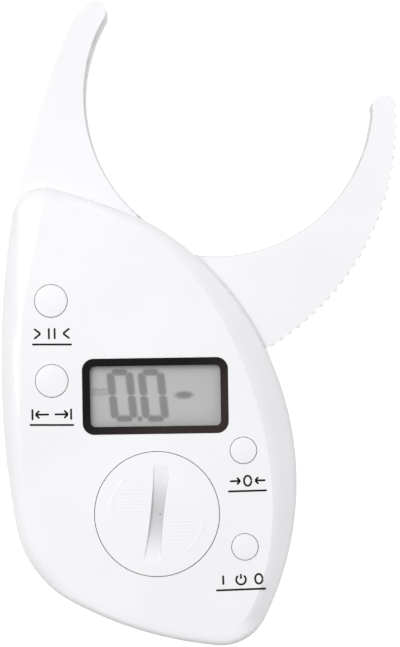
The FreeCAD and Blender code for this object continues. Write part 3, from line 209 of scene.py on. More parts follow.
# Matt grey painted on walls where shade falls: painted shade.
WALL_SHADE_GREY = (0.6, 0.6, 0.62)
SEAM_GREY = (0.28, 0.28, 0.3)
SEAM_HALF = (0.03, 0.12)
SEAM_SHARE = 0.55
SEAM_SINK = 8
# Near black into which painted shade turns the door's groove floor and its pit.
PAINTED_SHADE_BLACK = (0.01, 0.01, 0.012)
SHADE = 0.965
DRAWN_GRAIN = (0.15, 2.5, 2.5)
TRACK_SPACING = 3.0


def moulded(name, colour, roughness=0.24, seam=False, groove_shaded=False, walls_shaded=False):
    """White moulded plastic: fine spark-eroded grain, slow drifts of sheen and of tone. A
    seam has a dark line. Its attribute dark paints shade: near black on a groove's floor, and a
    matt grey on walls where shade falls."""
    finish = Finish(name, IOR=1.5)
    shaded = tuple(SHADE * channel for channel in colour)
    tone = finish.blend(finish.noise(24.0).step(0.3, 0.7), colour, shaded)
    height = finish.noise(0.35, 3.0)
    if seam:
        seam_line = 1 - (finish.axes()[2] - PARTING).size().step(*SEAM_HALF)
        tone = finish.blend(seam_line * SEAM_SHARE, tone, SEAM_GREY)
        height = height - seam_line * SEAM_SINK
    # Painted shade: the attribute dark darkens the groove's floor and the pit towards near black.
    if groove_shaded:
        tone = finish.blend(finish.attribute("dark"), tone, PAINTED_SHADE_BLACK)
    finish.set("Base Color", tone)
    finish.set("Roughness", finish.noise(3.0) * 0.08 + (roughness - 0.04))
    finish.bump(height, 0.004)
    # Painted shade: the attribute dark mixes a matt grey into walls where shade falls.
    if walls_shaded:
        grey = finish.node("ShaderNodeBsdfDiffuse", None, {"Color": WALL_SHADE_GREY})
        finish.mix_in(finish.attribute("dark"), grey)
    return finish.material


def dark_plastic(name, colour, reflection_tint, roughness):
    """Dark plastic with a painted reflection: it turns a little browner towards its lower right.
    """
    finish = Finish(name, IOR=1.5, Specular_IOR_Level=0.12)
    x, y = finish.axes()[:2]
    # Painted reflection: a brown ramp towards the lower right stands in for the room mirrored in
    # the bezel.
    slope = (x - BEZEL_MIDDLE[0]) * 0.05 - (y - BEZEL_MIDDLE[1]) * 0.09
    painted_reflection = (slope + finish.noise(6.0) * 0.3).step(-0.4, 1.2)
    finish.set("Base Color", finish.blend(painted_reflection, colour, reflection_tint))
    finish.set("Roughness", finish.noise(2.0) * 0.1 + roughness)
    finish.bump(finish.noise(0.3), 0.002)
    return finish.material


def soft_dark(name, colour, roughness=0.6):
    """Matt dark plastic, rubber or moulded resin with a fine grain."""
    finish = Finish(name)
    lighter = tuple(1.35 * channel + 0.004 for channel in colour)
    finish.set("Base Color", finish.blend(finish.noise(0.8), colour, lighter))
    finish.set("Roughness", finish.noise(1.5) * 0.2 + (roughness - 0.1))
    finish.bump(finish.noise(0.15), 0.01)
    return finish.material


def metal(name, colour, roughness):
    """Bare metal with a drawn grain: noise stretched along one axis, and faint clouding."""
    finish = Finish(name, Metallic=1.0)
    stretched = finish.node("ShaderNodeMapping", None, {0: finish.place, "Scale": DRAWN_GRAIN})
    lines = finish.node("ShaderNodeTexNoise", None,
                        {"Vector": stretched, "Scale": 1 / (0.4 * MM), "Detail": 3.0})
    duller = tuple(0.82 * channel for channel in colour)
    finish.set("Base Color", finish.blend(finish.noise(2.5), colour, duller))
    finish.set("Roughness", lines * 0.18 + (roughness - 0.09))
    finish.bump(lines, 0.003)
    return finish.material


def circuit_board(name):
    """Green lacquer over copper tracks, which show as lighter lines a little higher."""
    finish = Finish(name)
    cells = finish.node("ShaderNodeTexVoronoi", {"distance": "MANHATTAN", "feature": "F1"},
                        {"Vector": finish.place, "Scale": 1 / (TRACK_SPACING * MM)})
    tracks = 1 - (cells - 0.45).size().step(0.03, 0.06)
    finish.set("Base Color", finish.blend(tracks, (0.018, 0.13, 0.05), (0.05, 0.26, 0.1)))
    finish.set("Roughness", finish.noise(1.0) * 0.15 + 0.3)
    finish.bump(tracks, 0.03)
    return finish.material


def clear_window(name):
    """Clear plate: nearly all light passes, and the surface still mirrors the room."""
    finish = Finish(name, Roughness=0.06, IOR=1.49)
    clouds = finish.blend(finish.noise(9.0), (0.9, 0.92, 0.92), (0.8, 0.82, 0.83))
    finish.set("Base Color", clouds)
    finish.set("Alpha", finish.noise(14.0) * 0.02 + 0.05)
    return finish.material


def display_face(name):
    """Reflective liquid crystal: a grey ground, and segments where the ink says so."""
    finish = Finish(name, Specular_IOR_Level=0.25)
    ground = finish.blend(finish.noise(7.0), (0.452, 0.454, 0.45), (0.462, 0.464, 0.46))
    finish.set("Base Color", finish.blend(finish.attribute("ink"), ground, (0.17, 0.172, 0.17)))
    finish.set("Roughness", finish.noise(0.5) * 0.1 + 0.45)
    finish.bump(finish.noise(0.12), 0.002)
    return finish.material


def glass_edge(name):
    """The cut panes of the liquid crystal glass."""
    finish = Finish(name, IOR=1.5)
    cloudy = finish.blend(finish.noise(4.0), (0.46, 0.48, 0.46), (0.52, 0.54, 0.52))
    finish.set("Base Color", cloudy)
    finish.set("Roughness", finish.noise(1.0) * 0.1 + 0.2)
    return finish.material


def printed_ink(name):
    """Black pad-printed ink, matt, a little thinner in places."""
    finish = Finish(name, Specular_IOR_Level=0.15)
    finish.set("Base Color", finish.blend(finish.noise(0.6), (0.004, 0.004, 0.005),
                                          (0.012, 0.012, 0.014)))
    finish.set("Roughness", finish.noise(0.4) * 0.2 + 0.45)
    return finish.material


WHITE = (0.885, 0.887, 0.905)
FINISHES = {
    # Casing and jaws carry painted shade on their walls; the door carries painted shade in its
    # groove.
    "casing_plastic": moulded("casing_white", WHITE, 0.16, seam=True, walls_shaded=True),
    "jaw_plastic": moulded("jaw_white", WHITE, 0.16, walls_shaded=True),
    "door_plastic": moulded("door_white", WHITE, 0.36, groove_shaded=True),
    "button_plastic": moulded("button_white", WHITE, 0.3),
    "switch_plastic": soft_dark("switch_black", (0.02, 0.02, 0.02)),
    # The bezel's brown tint towards its lower right is a painted reflection.
    "bezel_plastic": dark_plastic("bezel_black", (0.003, 0.003, 0.003), (0.03, 0.021, 0.02), 0.22),
    "clear_window": clear_window("window_clear"),
    "lcd_glass": glass_edge("crystal_glass"),
    "frame_plastic": moulded("frame_white", (0.72, 0.72, 0.7), 0.5),
    "contact_rubber": soft_dark("strip_rubber", (0.06, 0.06, 0.07), 0.75),
    "circuit_board": circuit_board("board_green"),
    "chip_resin": soft_dark("package_resin", (0.015, 0.015, 0.016), 0.5),
    "copper_foil": metal("ring_copper", (0.8, 0.45, 0.28), 0.35),
    "spring_steel": metal("wire_steel", (0.5, 0.5, 0.52), 0.28),
    "zinc_steel": metal("screw_zinc", (0.6, 0.6, 0.62), 0.32),
    "cell_steel": metal("cell_nickel", (0.66, 0.66, 0.66), 0.25),
    "contact_metal": metal("contact_nickel", (0.7, 0.68, 0.62), 0.24),
}
INK = printed_ink("print_black")
SEGMENTS = display_face("crystal_face")
SLOTS = {part["node"]: part["material_slot"] for part in frame["record"]["subparts"]}
for name, node in NODES.items():
    node.data.materials.clear()
    node.data.materials.append(FINISHES[SLOTS[name]])


# ---------------------------------------------------------------- meshes

MEET = 1e-3
LEVEL = 0.9999
SKIN_SHARP = 28.0
TURN_STEPS = 96


def add_piece(mesh, name, body, slot, material, *replaced):
    """Gives a finished mesh its material and its body; its slot is not used."""
    piece = bpy.data.objects.new(name, mesh)
    bpy.context.scene.collection.objects.link(piece)
    mesh.materials.clear()
    mesh.materials.append(material)
    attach(piece, body)
    if replaced:
        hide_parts(*replaced)
    return piece


def sheet_faces(rows, columns, around, first=0):
    """Corner numbers of the quads over a grid, row by row; around closes its columns."""
    last = columns if around else columns - 1
    row, column = np.meshgrid(np.arange(rows - 1), np.arange(last), indexing="ij")
    beside = (column + 1) % columns
    corners = [row * columns + column, row * columns + beside,
               (row + 1) * columns + beside, (row + 1) * columns + column]
    return np.stack([c.ravel() for c in corners], 1) + first


def mesh_of(name, grids, sharp=30.0, merge=MEET):
    """One mesh of several point grids, each (points, around). Points that meet become one."""
    points, faces, count = [], [], 0
    for grid, around in grids:
        rows, columns = grid.shape[:2]
        faces.append(sheet_faces(rows, columns, around, count))
        points.append(grid.reshape(-1, 3))
        count += rows * columns
    mesh = bpy.data.meshes.new(name)
    mesh.from_pydata((np.concatenate(points) * MM).tolist(), [], np.concatenate(faces).tolist())
    close_up(mesh, merge, True)
    shade(mesh, sharp)
    return mesh


def close_up(mesh, merge, turn_out):
    """Joins points that meet, and turns the faces outwards where that isn't so yet."""
    shape = bmesh.new()
    shape.from_mesh(mesh)
    bmesh.ops.remove_doubles(shape, verts=shape.verts, dist=merge * MM)
    bmesh.ops.dissolve_degenerate(shape, edges=shape.edges, dist=1e-9)
    if turn_out:
        bmesh.ops.recalc_face_normals(shape, faces=shape.faces)
    shape.to_mesh(mesh)
    shape.free()


def shade(mesh, sharp):
    """Smooth shading, except over edges that bend by more than sharp degrees."""
    mesh.shade_smooth()
    mesh.set_sharp_from_angle(angle=math.radians(sharp))


def border(shape, chosen):
    """The edges between the chosen faces and the others."""
    chosen = set(chosen)
    return [edge for edge in shape.edges
            if len([face for face in edge.link_faces if face in chosen]) == 1]


def keep_flats_flat(shape):
    """Marks the edges round level faces as sharp, so that rounds beside them don't tilt them."""
    shape.normal_update()
    level = [face for face in shape.faces if abs(face.normal.z) > LEVEL]
    for edge in border(shape, level):
        edge.smooth = False


def weigh_normals(piece):
    """Lets the large flat faces set the shading beside a round."""
    weigh = piece.modifiers.new("flat_faces", "WEIGHTED_NORMAL")
    weigh.keep_sharp = True
    weigh.mode = "FACE_AREA"
    weigh.weight = 50


def smooth_skin(node, reshape=None):
    """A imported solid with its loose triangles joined, so that its rounds shade smooth."""
    solid, slot = NODES[node], SLOTS[node]
    mesh = solid.data.copy()
    close_up(mesh, MEET, False)
    shade(mesh, SKIN_SHARP)
    shape = bmesh.new()
    shape.from_mesh(mesh)
    if reshape:
        reshape(shape)
    keep_flats_flat(shape)
    shape.to_mesh(mesh)
    shape.free()
    off_flats = np.ones(len(mesh.vertices))
    for face in mesh.polygons:
        if abs(face.normal.z) > LEVEL:
            off_flats[list(face.vertices)] = 0
    # The attribute dark carries painted shade on the mouth walls and on the heel's rim.
    give_attribute(mesh, "dark", lambda *both: wall_shade_share(*both) * off_flats)
    weigh_normals(add_piece(mesh, node + "_skin", solid["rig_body"], slot, FINISHES[slot], node))


def give_attribute(mesh, name, function):
    """Keeps a function of the places, in millimetres, and normals at the corners of a mesh."""
    kept = mesh.attributes.new(name, "FLOAT", "POINT")
    both = []
    for source, key in ((mesh.vertices, "co"), (mesh.vertex_normals, "vector")):
        numbers = np.empty(len(mesh.vertices) * 3)
        source.foreach_get(key, numbers)
        both.append(numbers.reshape(-1, 3).T)
    kept.data.foreach_set("value", function(both[0] / MM, both[1]).astype(np.float32))


def rise(value, low, high):
    """0 below low, 1 above high and a smooth rise between, for arrays."""
    share = np.clip((value - low) / (high - low), 0, 1)
    return share * share * (3 - 2 * share)


def fall(value, low, high):
    """1 below low, 0 above high and a smooth fall between."""
    return 1 - rise(value, low, high)


def turned(profile, centre):
    """Points of a profile, (radius, height) pairs, carried once round an upright axis."""
    angles = np.linspace(0, 2 * np.pi, TURN_STEPS, endpoint=False)
    radius, height = np.array(profile, float).T
    x = centre[0] + radius[:, None] * np.cos(angles)
    y = centre[1] + radius[:, None] * np.sin(angles)
    z = np.broadcast_to(height[:, None], x.shape)
    return np.stack([x, y, z], -1)


def quarter(radius, centre_r, centre_z, first, last, count=8):
    """Points of an arc in a profile, between two angles in degrees."""
    turn = np.radians(np.linspace(first, last, count))
    return list(zip(centre_r + radius * np.cos(turn), centre_z + radius * np.sin(turn)))


# ---------------------------------------------------------------- casing and jaws

# An aim is a part of the unit vector in plan that points out of the casing.

BACK_ROUND = 2.5
FACET_FIRST = 0.46
FACET_LAST = 0.72
FACET_BEND = 0.4
FACET_AIM = (0.0, 0.35)
FACET_END = (-0.9, -0.7)
HEEL_AIM = (0.5, 0.95)
CHEEK_LINE = ((-30.2, 20.1), (-34.9, -2.3))
CHEEK_EDGE = -35.8
CHEEK_SLOPE = 0.27
CHEEK_FADE = (-15.0, -6.0)
CHEEK_REACH = 9.0
UPWARD = 0.02
ON_ROUND = 0.3
# Share of painted shade on the mouth walls and on the heel's rim.
WALL_SHADE = 0.42
MOUTH_CENTRE = (19.0, 47.5)
MOUTH_AIM = (0.1, 0.6)
MOUTH_START = (3.0, 6.0)
JAW_TOP = (10.1, 10.6)
RIM_AIM = (0.3, 0.85)
RIM_START = (30.0, 45.0)


def longest_loop(edges):
    """The longest closed line among edges."""
    rest, loops = set(edges), []
    while rest:
        loop, open_ends = [], [rest.pop()]
        while open_ends:
            edge = open_ends.pop()
            loop.append(edge)
            beside = {other for corner in edge.verts for other in corner.link_edges} & rest
            rest -= beside
            open_ends += beside
        loops.append(loop)
    return max(loops, key=lambda loop: sum(edge.calc_length() for edge in loop))


def wall_shade_share(place, normal):
    """Painted shade: how far the walls that look into the jaws' mouth, and the rim of the
    heel, turn to a matt grey that stands in for the shade falling there."""
    x, y = MOUTH_CENTRE[0] - place[0], MOUTH_CENTRE[1] - place[1]
    inward = (normal[0] * x + normal[1] * y) / np.maximum(np.hypot(x, y), 1e-6)
    mouth = rise(inward, *MOUTH_AIM) * rise(place[1], *MOUTH_START) * fall(place[2], *JAW_TOP)
    rim = rise(-normal[1], *RIM_AIM) * rise(-place[1], *RIM_START)
    return WALL_SHADE * np.maximum(mouth, rim)


def outline(shape, way, height):
    """Both ends in plan of each edge round the level faces that look one way at a height."""
    shape.normal_update()
    chosen = [face for face in shape.faces if face.normal.z * way > LEVEL
              and abs(face.calc_center_median().z / MM - height) < 0.01]
    loop = longest_loop(border(shape, chosen))
    return np.array([[corner.co.xy for corner in edge.verts] for edge in loop]) / MM


def back_outline():
    """The outline in plan of the rear case's flat back."""
    rear = bmesh.new()
    rear.from_mesh(NODES["rear_case"].data)
    bmesh.ops.remove_doubles(rear, verts=rear.verts, dist=MEET * MM)
    segments = outline(rear, -1, BACK)
    rear.free()
    return segments


def way_to(places, segments):
    """The shortest way in plan from each place to a loop."""
    start, run = segments[:, 0], segments[:, 1] - segments[:, 0]
    offset = places[:, None] - start
    share = (offset * run).sum(2) / np.maximum((run * run).sum(1), 1e-12)
    offset = np.clip(share, 0, 1)[:, :, None] * run - offset
    nearest = np.linalg.norm(offset, axis=2).argmin(1)
    return offset[np.arange(len(places)), nearest]


def inside(places, segments):
    """Whether places lie inside a loop: a line to the right crosses it an odd number of times."""
    (x1, y1), (x2, y2) = segments[:, 0].T, segments[:, 1].T
    x, y = places[:, 0, None], places[:, 1, None]
    meets = (y1 > y) != (y2 > y)
    cross = x1 + (x2 - x1) * (y - y1) / np.where(y1 == y2, 1e-9, y2 - y1)
    return (meets & (x < cross)).sum(1) % 2 == 1


def facet_drop(share, round_drop):
    """Drop of the facet at a share u of its width: its slope grows from first to last until u
    reaches the bend, and 1 - sqrt(1 - u^2) to the sixth power turns it down to the wall."""
    bent = np.minimum(share, FACET_BEND)
    slant = FACET_FIRST * share
    slant += (FACET_LAST - FACET_FIRST) * (bent ** 2 / (2 * FACET_BEND) + share - bent)
    slant_end = FACET_FIRST + (FACET_LAST - FACET_FIRST) * (1 - FACET_BEND / 2)
    return slant + (1 - slant_end) * round_drop ** 6


def cut(shape, place, normal):
    """Cuts the cover's upper left along an upright plane."""
    faces = [face for face in shape.faces if face.normal.z > UPWARD
             and face.calc_center_median().z > (FACE - CHEEK_REACH) * MM]
    parts = {part for face in faces for part in (face, *face.edges, *face.verts)}
    bmesh.ops.bisect_plane(shape, geom=list(parts), dist=1e-7, plane_co=(*np.array(place) * MM, 0),
                           plane_no=(*normal, 0))


def cheek_normal():
    """Unit vector in plan that points left, away from the cheek's line."""
    (x1, y1), (x2, y2) = CHEEK_LINE
    length = math.hypot(x1 - x2, y1 - y2)
    return np.array([(y2 - y1) / length, (x1 - x2) / length])


def cheek_drop(places, from_front, out, width):
    """Drop of the cheek, a flat facet at the upper left: its slope times the way from its
    line, and beyond its outer edge a round that reaches the CAD round's own foot."""
    way = np.maximum((places[:, :2] - CHEEK_LINE[0]) @ cheek_normal(), from_front)
    beyond = np.maximum(CHEEK_EDGE - places[:, 0], 0)
    share = np.clip(beyond / np.maximum(beyond + out, 1e-6), 0, 1)
    rest = np.maximum(width - CHEEK_SLOPE * (way + out), 0)
    return CHEEK_SLOPE * way + rest * (1 - np.sqrt(1 - share ** 2))


def facet(shape):
    """Turns the cover's edge round, whose drop is r * (1 - sqrt(1 - u^2)) at a share u of its
    width r, into a slanting facet that starts at a crease, on the right side. Along the heel
    the square of that drop keeps the front flat for longer. The cheek lies at the upper left."""
    cut(shape, CHEEK_LINE[0], cheek_normal())
    cut(shape, (CHEEK_EDGE, 0), (1, 0))
    front_line, back_line = outline(shape, 1, FACE), back_outline()
    corners = [corner for corner in shape.verts if corner.normal.z > UPWARD]
    places = np.array([corner.co for corner in corners]) / MM
    plan, level = places[:, :2], FACE - places[:, 2]
    flat = inside(plan, front_line)
    from_front = np.linalg.norm(way_to(plan, front_line), axis=1)
    outward = way_to(plan, back_line)
    far = np.linalg.norm(outward, axis=1)
    side = np.where(inside(plan, back_line), 1, -1)
    aim = outward * (side / np.maximum(far, 1e-6))[:, None]
    out = far * side + BACK_ROUND
    width = from_front + out
    share = np.clip(from_front / width, 0, 1)
    round_drop = 1 - np.sqrt(1 - share ** 2)
    on_round = (np.abs(level - width * round_drop) < ON_ROUND) & (out > -0.01) & ~flat
    heel = rise(-aim[:, 1], *HEEL_AIM)
    right = rise(aim[:, 0], *FACET_AIM) * rise(-aim[:, 1], *FACET_END)
    drop = facet_drop(share, round_drop) * (1 - heel) + round_drop ** 2 * heel
    lower = np.where(on_round, np.maximum(heel, right) * width * (drop - round_drop), 0.0)
    past_line = (plan - CHEEK_LINE[0]) @ cheek_normal() > -1e-4
    left = rise(places[:, 1], *CHEEK_FADE) * past_line
    cheek = cheek_drop(places, np.where(flat, 0.0, from_front), np.maximum(out, 0), width)
    changed = on_round | (level < 1e-3)
    lower += np.where(changed, left * np.maximum(cheek - level, 0), 0.0)
    for corner, step in zip(corners, lower):
        corner.co.z -= step * MM


smooth_skin("front_cover", reshape=facet)
for node in ("rear_case", "moving_jaw", "display_bezel", "display_window", "casing_screws",
             "jaw_screw"):
    smooth_skin(node)


# ---------------------------------------------------------------- push buttons

FLANGE_WIDTH = 0.8
FLANGE_THICKNESS = 0.8
STEM_RADIUS = 1.8
STEM_LENGTH = 0.25
SHOULDER = 0.35
CROWN = 0.2
GATE_RADIUS = 0.34
GATE_DEPTH = 0.05


def push_button(key):
    """Turned button. Its crown is rim + crown * (1 - (r / shoulder)^2), with a gate mark."""
    low, high = low_high(key + "_button")
    radius = (high[0] - low[0]) / 2 - FLANGE_WIDTH
    flat = radius - SHOULDER
    reach = np.linspace(0, flat, 26)
    crown = high[2] - CROWN * (reach / flat) ** 2
    crown = crown - GATE_DEPTH * np.clip(1 - (reach / GATE_RADIUS) ** 2, 0, 1)
    flange_low = low[2] + STEM_LENGTH
    flange_top = flange_low + FLANGE_THICKNESS
    profile = list(zip(reach, crown))
    profile += quarter(SHOULDER, flat, high[2] - CROWN - SHOULDER, 88, 0)
    profile += [(radius, flange_top), (radius + FLANGE_WIDTH, flange_top),
                (radius + FLANGE_WIDTH, flange_low), (STEM_RADIUS, flange_low),
                (STEM_RADIUS, low[2]), (0, low[2])]
    mesh = mesh_of(key + "_cap", [(turned(profile, (low + high) / 2), True)])
    add_piece(mesh, key + "_cap", key + "_key", "button_plastic", FINISHES["button_plastic"],
              key + "_button")


for key in ("hold", "unit", "zero", "power"):
    push_button(key)


# ---------------------------------------------------------------- battery door

# The pads and arcs of the relief are given for one half turn of the door, about its centre.

COIN_ANGLE = math.radians(83.2)
GROOVE_REACH = 12.7
GROOVE_HALF = 1.45
GROOVE_FLARE = 0.55
GROOVE_DEPTH = 1.35
GROOVE_WALL = 0.3
DOOR_PLATE = 1.93
RIM_ROUND = 0.2
LUG_ANGLE = math.radians(28.0)
LUG_HEIGHT = 0.9
LUG_WIDTH = 1.5
SKIRT_WALL = 1.1
DOOR_LAP = 1.5
PAD_LEFT, PAD_RIGHT = (-9.9, -9.4), (-3.5, -3.0)
PAD_LOW, PAD_HIGH = (0.2, 0.7), (7.9, 8.4)
PAD_REACH = (11.2, 11.6)
PAD_SPACING = 0.92
PAD_RISE = 0.06
ARC_RADIUS = 12.2
ARC_HALF = (0.1, 0.55)
ARC_FIRST, ARC_LAST = (126, 132), (172, 177)
ARC_RISE = 0.1
# Painted shade on the groove's floor, and the pit's shade painted near black.
GROOVE_DARK = 0.34
DOOR_LINES = 300
PIT_RADIUS = 0.3
PIT_DARK = 0.95
PIT_PLACE = (0.75, -0.2)


def groove_half(along):
    """Half width of the coin groove: narrow in the middle and flared at both ends."""
    return GROOVE_HALF + GROOVE_FLARE * (along / GROOVE_REACH) ** 2


def door_relief(x, y):
    """Height of the door's fine relief at places relative to its centre: two pads of ridges,
    cos waves across the door's own up axis, each inside a raised arc. Half a turn repeats it."""
    flip = np.where(x < 0, 1.0, -1.0)
    u, v = x * flip, y * flip
    radius, angle = np.hypot(u, v), np.degrees(np.arctan2(v, u))
    pad = rise(u, *PAD_LEFT) * fall(u, *PAD_RIGHT) * rise(v, *PAD_LOW) * fall(v, *PAD_HIGH)
    pad = pad * fall(radius, *PAD_REACH)
    ridges = pad * PAD_RISE * (0.5 + 0.5 * np.cos(2 * np.pi * v / PAD_SPACING))
    arc = fall(np.abs(radius - ARC_RADIUS), *ARC_HALF)
    arc = arc * rise(angle, *ARC_FIRST) * fall(angle, *ARC_LAST)
    return ridges + arc * ARC_RISE


def door_top(centre, radius):
    """Grid over the door's face: lines run along the groove's direction, bunched at its walls.
    Height is the face less the groove, whose floor is a parabola along and steep across."""
    turn = np.linspace(0, np.pi, DOOR_LINES + 1)
    along = (-radius * np.cos(turn))[:, None]
    chord = (radius * np.sin(turn))[:, None]
    half = np.minimum(groove_half(along), 0.4 * chord)
    wall = np.minimum(GROOVE_WALL, 0.2 * chord + 1e-6)
    field = np.linspace(1, 0, 44)[None, :-1]
    slope = np.linspace(1, 0, 7)[None, :-1]
    right = [half + wall + (chord - half - wall) * field, half + wall * slope,
             half * np.linspace(1, 0, 7)[None, :]]
    right = np.concatenate(right, 1)
    across = np.concatenate([-right, right[:, -2::-1]], 1)
    deep = GROOVE_DEPTH * np.clip(1 - (along / GROOVE_REACH) ** 2, 0, 1)
    in_groove = fall(np.abs(across), half, half + wall)
    x = along * math.cos(COIN_ANGLE) - across * math.sin(COIN_ANGLE)
    y = along * math.sin(COIN_ANGLE) + across * math.cos(COIN_ANGLE)
    relief = door_relief(x, y) * (1 - in_groove) * fall(np.hypot(x, y), radius - 0.6, radius - 0.2)
    z = DOOR_HIGH[2] - deep * in_groove + relief
    return np.stack([centre[0] + x, centre[1] + y, z], -1)


def door_dark(centre, x, y):
    """Painted shade on the door: the groove's floor by (1 - (along / reach)^2)^2, and a pit
    painted near black.
    """
    x, y = x - centre[0], y - centre[1]
    along = x * math.cos(COIN_ANGLE) + y * math.sin(COIN_ANGLE)
    across = y * math.cos(COIN_ANGLE) - x * math.sin(COIN_ANGLE)
    half = groove_half(along)
    deep = np.clip(1 - (along / GROOVE_REACH) ** 2, 0, 1) ** 2
    dark = GROOVE_DARK * deep * fall(np.abs(across), half, half + GROOVE_WALL)
    pit = np.hypot(x - PIT_PLACE[0], y - PIT_PLACE[1])
    return np.maximum(dark, PIT_DARK * fall(pit, 0.5 * PIT_RADIUS, PIT_RADIUS))


def battery_door():
    """The door: its face, a rim and skirt carried along the face's own edge, and two lugs."""
    centre = (DOOR_LOW + DOOR_HIGH) / 2
    radius = (DOOR_HIGH[0] - DOOR_LOW[0]) / 2
    face = door_top(centre, radius - RIM_ROUND)
    edge = np.concatenate([face[:-1, 0], face[:0:-1, -1]])
    outward = np.unwrap(np.arctan2(edge[:, 1] - centre[1], edge[:, 0] - centre[0]))
    plate_low = DOOR_HIGH[2] - DOOR_PLATE
    skirt = radius - DOOR_LAP - LUG_WIDTH
    rim = [(radius - RIM_ROUND, DOOR_HIGH[2])]
    rim += quarter(RIM_ROUND, radius - RIM_ROUND, DOOR_HIGH[2] - RIM_ROUND, 80, 0, 6)
    rim += [(radius, plate_low), (skirt, plate_low), (skirt, DOOR_LOW[2]),
            (skirt - SKIRT_WALL, DOOR_LOW[2]), (skirt - SKIRT_WALL, plate_low), (0, plate_low)]
    reach, height = np.array(rim).T
    x = centre[0] + reach[:, None] * np.cos(outward)
    y = centre[1] + reach[:, None] * np.sin(outward)
    sides = np.stack([x, y, np.broadcast_to(height[:, None], x.shape)], -1)
    mesh = mesh_of("battery_door_face", [(face, False), (sides, True), *lugs(centre, skirt)], 40)
    # The attribute dark holds the painted shade of the groove and of the pit.
    give_attribute(mesh, "dark", lambda place, normal: door_dark(centre, *place[:2]))
    add_piece(mesh, "battery_door_face", "battery_door", "door_plastic",
              FINISHES["door_plastic"], "battery_door")


def lugs(centre, skirt):
    """Two bayonet lugs: a rectangle's edge carried round a short arc, closed at both ends."""
    reach = [skirt - 0.2, skirt + LUG_WIDTH, skirt + LUG_WIDTH, skirt - 0.2]
    height = [0, 0, LUG_HEIGHT, LUG_HEIGHT]
    made = []
    for side in (0, math.pi):
        turn = np.linspace(side - LUG_ANGLE / 2, side + LUG_ANGLE / 2, 24)
        turn = np.concatenate([turn[:1], turn, turn[-1:]])[:, None]
        radius = np.tile(np.array(reach), (len(turn), 1))
        level = np.tile(np.array(height), (len(turn), 1))
        radius[[0, -1]] = skirt + LUG_WIDTH / 2
        level[[0, -1]] = LUG_HEIGHT / 2
        points = [centre[0] + radius * np.cos(turn), centre[1] + radius * np.sin(turn),
                  DOOR_LOW[2] + level]
        made.append((np.stack(points, -1), True))
    return made


battery_door()


# ---------------------------------------------------------------- printed signs

INK_RISE = 0.03
INK_SINK = 0.02
LINE = 0.5


def line(start, end):
    """Points of a straight stroke."""
    return np.linspace(start, end, 12)


def ring(centre, wide, high, first=0.0, last=360.0):
    """Points of a stroke along an ellipse, between two angles in degrees."""
    turn = np.radians(np.linspace(first, last, 60))
    return np.stack([centre[0] + wide * np.cos(turn), centre[1] + high * np.sin(turn)], -1)


def stroke(path):
    """A flat stroke: a low rectangle carried along a path, its width going round at both ends
    as the square root of 1 - (1 - distance / half)^2, so that the ends are half circles."""
    half = LINE / 2
    steps = np.linalg.norm(np.diff(path, axis=0), axis=1)
    walked = np.concatenate([[0], np.cumsum(steps)])
    cap = half * (1 - np.cos(np.linspace(0, np.pi / 2, 7)))
    middle = np.linspace(half, walked[-1] - half, max(len(path), 4))[1:-1]
    stops = np.concatenate([cap, middle, walked[-1] - cap[::-1]])
    place = np.stack([np.interp(stops, walked, path[:, axis]) for axis in (0, 1)], -1)
    along = np.gradient(place, axis=0)
    along = along / np.linalg.norm(along, axis=1)[:, None]
    aside = np.stack([-along[:, 1], along[:, 0]], -1)
    near_end = np.clip(np.minimum(stops, walked[-1] - stops) / half, 0, 1)
    wide = (half * np.sqrt(1 - (1 - near_end) ** 2))[:, None]
    left, right = place + aside * wide, place - aside * wide
    top, foot = FACE + INK_RISE, FACE - INK_SINK
    corners = [(left, top), (right, top), (right, foot), (left, foot)]
    columns = [np.column_stack([flat, np.full(len(flat), level)]) for flat, level in corners]
    return np.stack(columns, 1), True


def sign(name, centre, strokes, underline, tilt=0.0):
    """A printed sign: strokes about its centre, over a line."""
    turn = np.array([[math.cos(tilt), math.sin(tilt)], [-math.sin(tilt), math.cos(tilt)]])
    grids = [stroke(path @ turn + centre) for path in strokes]
    grids.append(stroke(line(*underline)))
    add_piece(mesh_of(name, grids, merge=1e-4), name, "casing", "bezel_plastic", INK)


def arrow(tip, tail, barb):
    """A straight arrow as three strokes."""
    tip, tail = np.array(tip), np.array(tail)
    back = barb * np.sign(tail[0] - tip[0])
    return [line(tail, tip), line(tip + (back, barb), tip), line(tip + (back, -barb), tip)]


HALF_SIGN = 1.45
pause = [line((x, -HALF_SIGN), (x, HALF_SIGN)) for x in (-0.75, 0.75)]
pause += [line((side * 4.6, y), (side * 2.9, 0)) for side in (-1, 1) for y in (-1.3, 1.3)]
swap = [line((side * 5.0, -HALF_SIGN), (side * 5.0, HALF_SIGN)) for side in (-1, 1)]
tare = [ring((0, 0), 0.95, 1.3)]
for side in (-1, 1):
    swap += arrow((side * 4.2, 0), (side * 0.7, 0), 1.0)
    tare += arrow((side * 1.9, 0), (side * 4.6, 0), 0.9)
standby = [ring((0, -0.05), 1.25, 1.25, 125, 415), line((0, 0.1), (0, 1.45))]
standby += [line((-4.6, -1.25), (-4.6, 1.25)), ring((4.6, 0), 0.95, 1.25)]

sign("hold_sign", (-27.9, -11.1), pause, [(-33.05, -13.83), (-22.7, -13.98)])
sign("unit_sign", (-28.2, -32.0), swap, [(-34.0, -34.64), (-22.5, -34.81)])
sign("zero_sign", (22.2, -49.9), tare, [(17.07, -52.61), (27.16, -52.45)], 0.016)
sign("power_sign", (20.1, -75.4), standby, [(13.58, -78.16), (26.52, -77.84)], 0.024)


# ---------------------------------------------------------------- the display's face

PIXEL = 0.16
SLANT = math.tan(math.radians(5.5))
DIGIT_WIDE = 4.9
DIGIT_HIGH = 12.0
SEGMENT = 2.1
SOFT = 0.42
UNIT_STEP = 0.72
UNIT_LINE = 0.3
UNIT_SOFT = 0.14
UNIT_DARK = 0.75


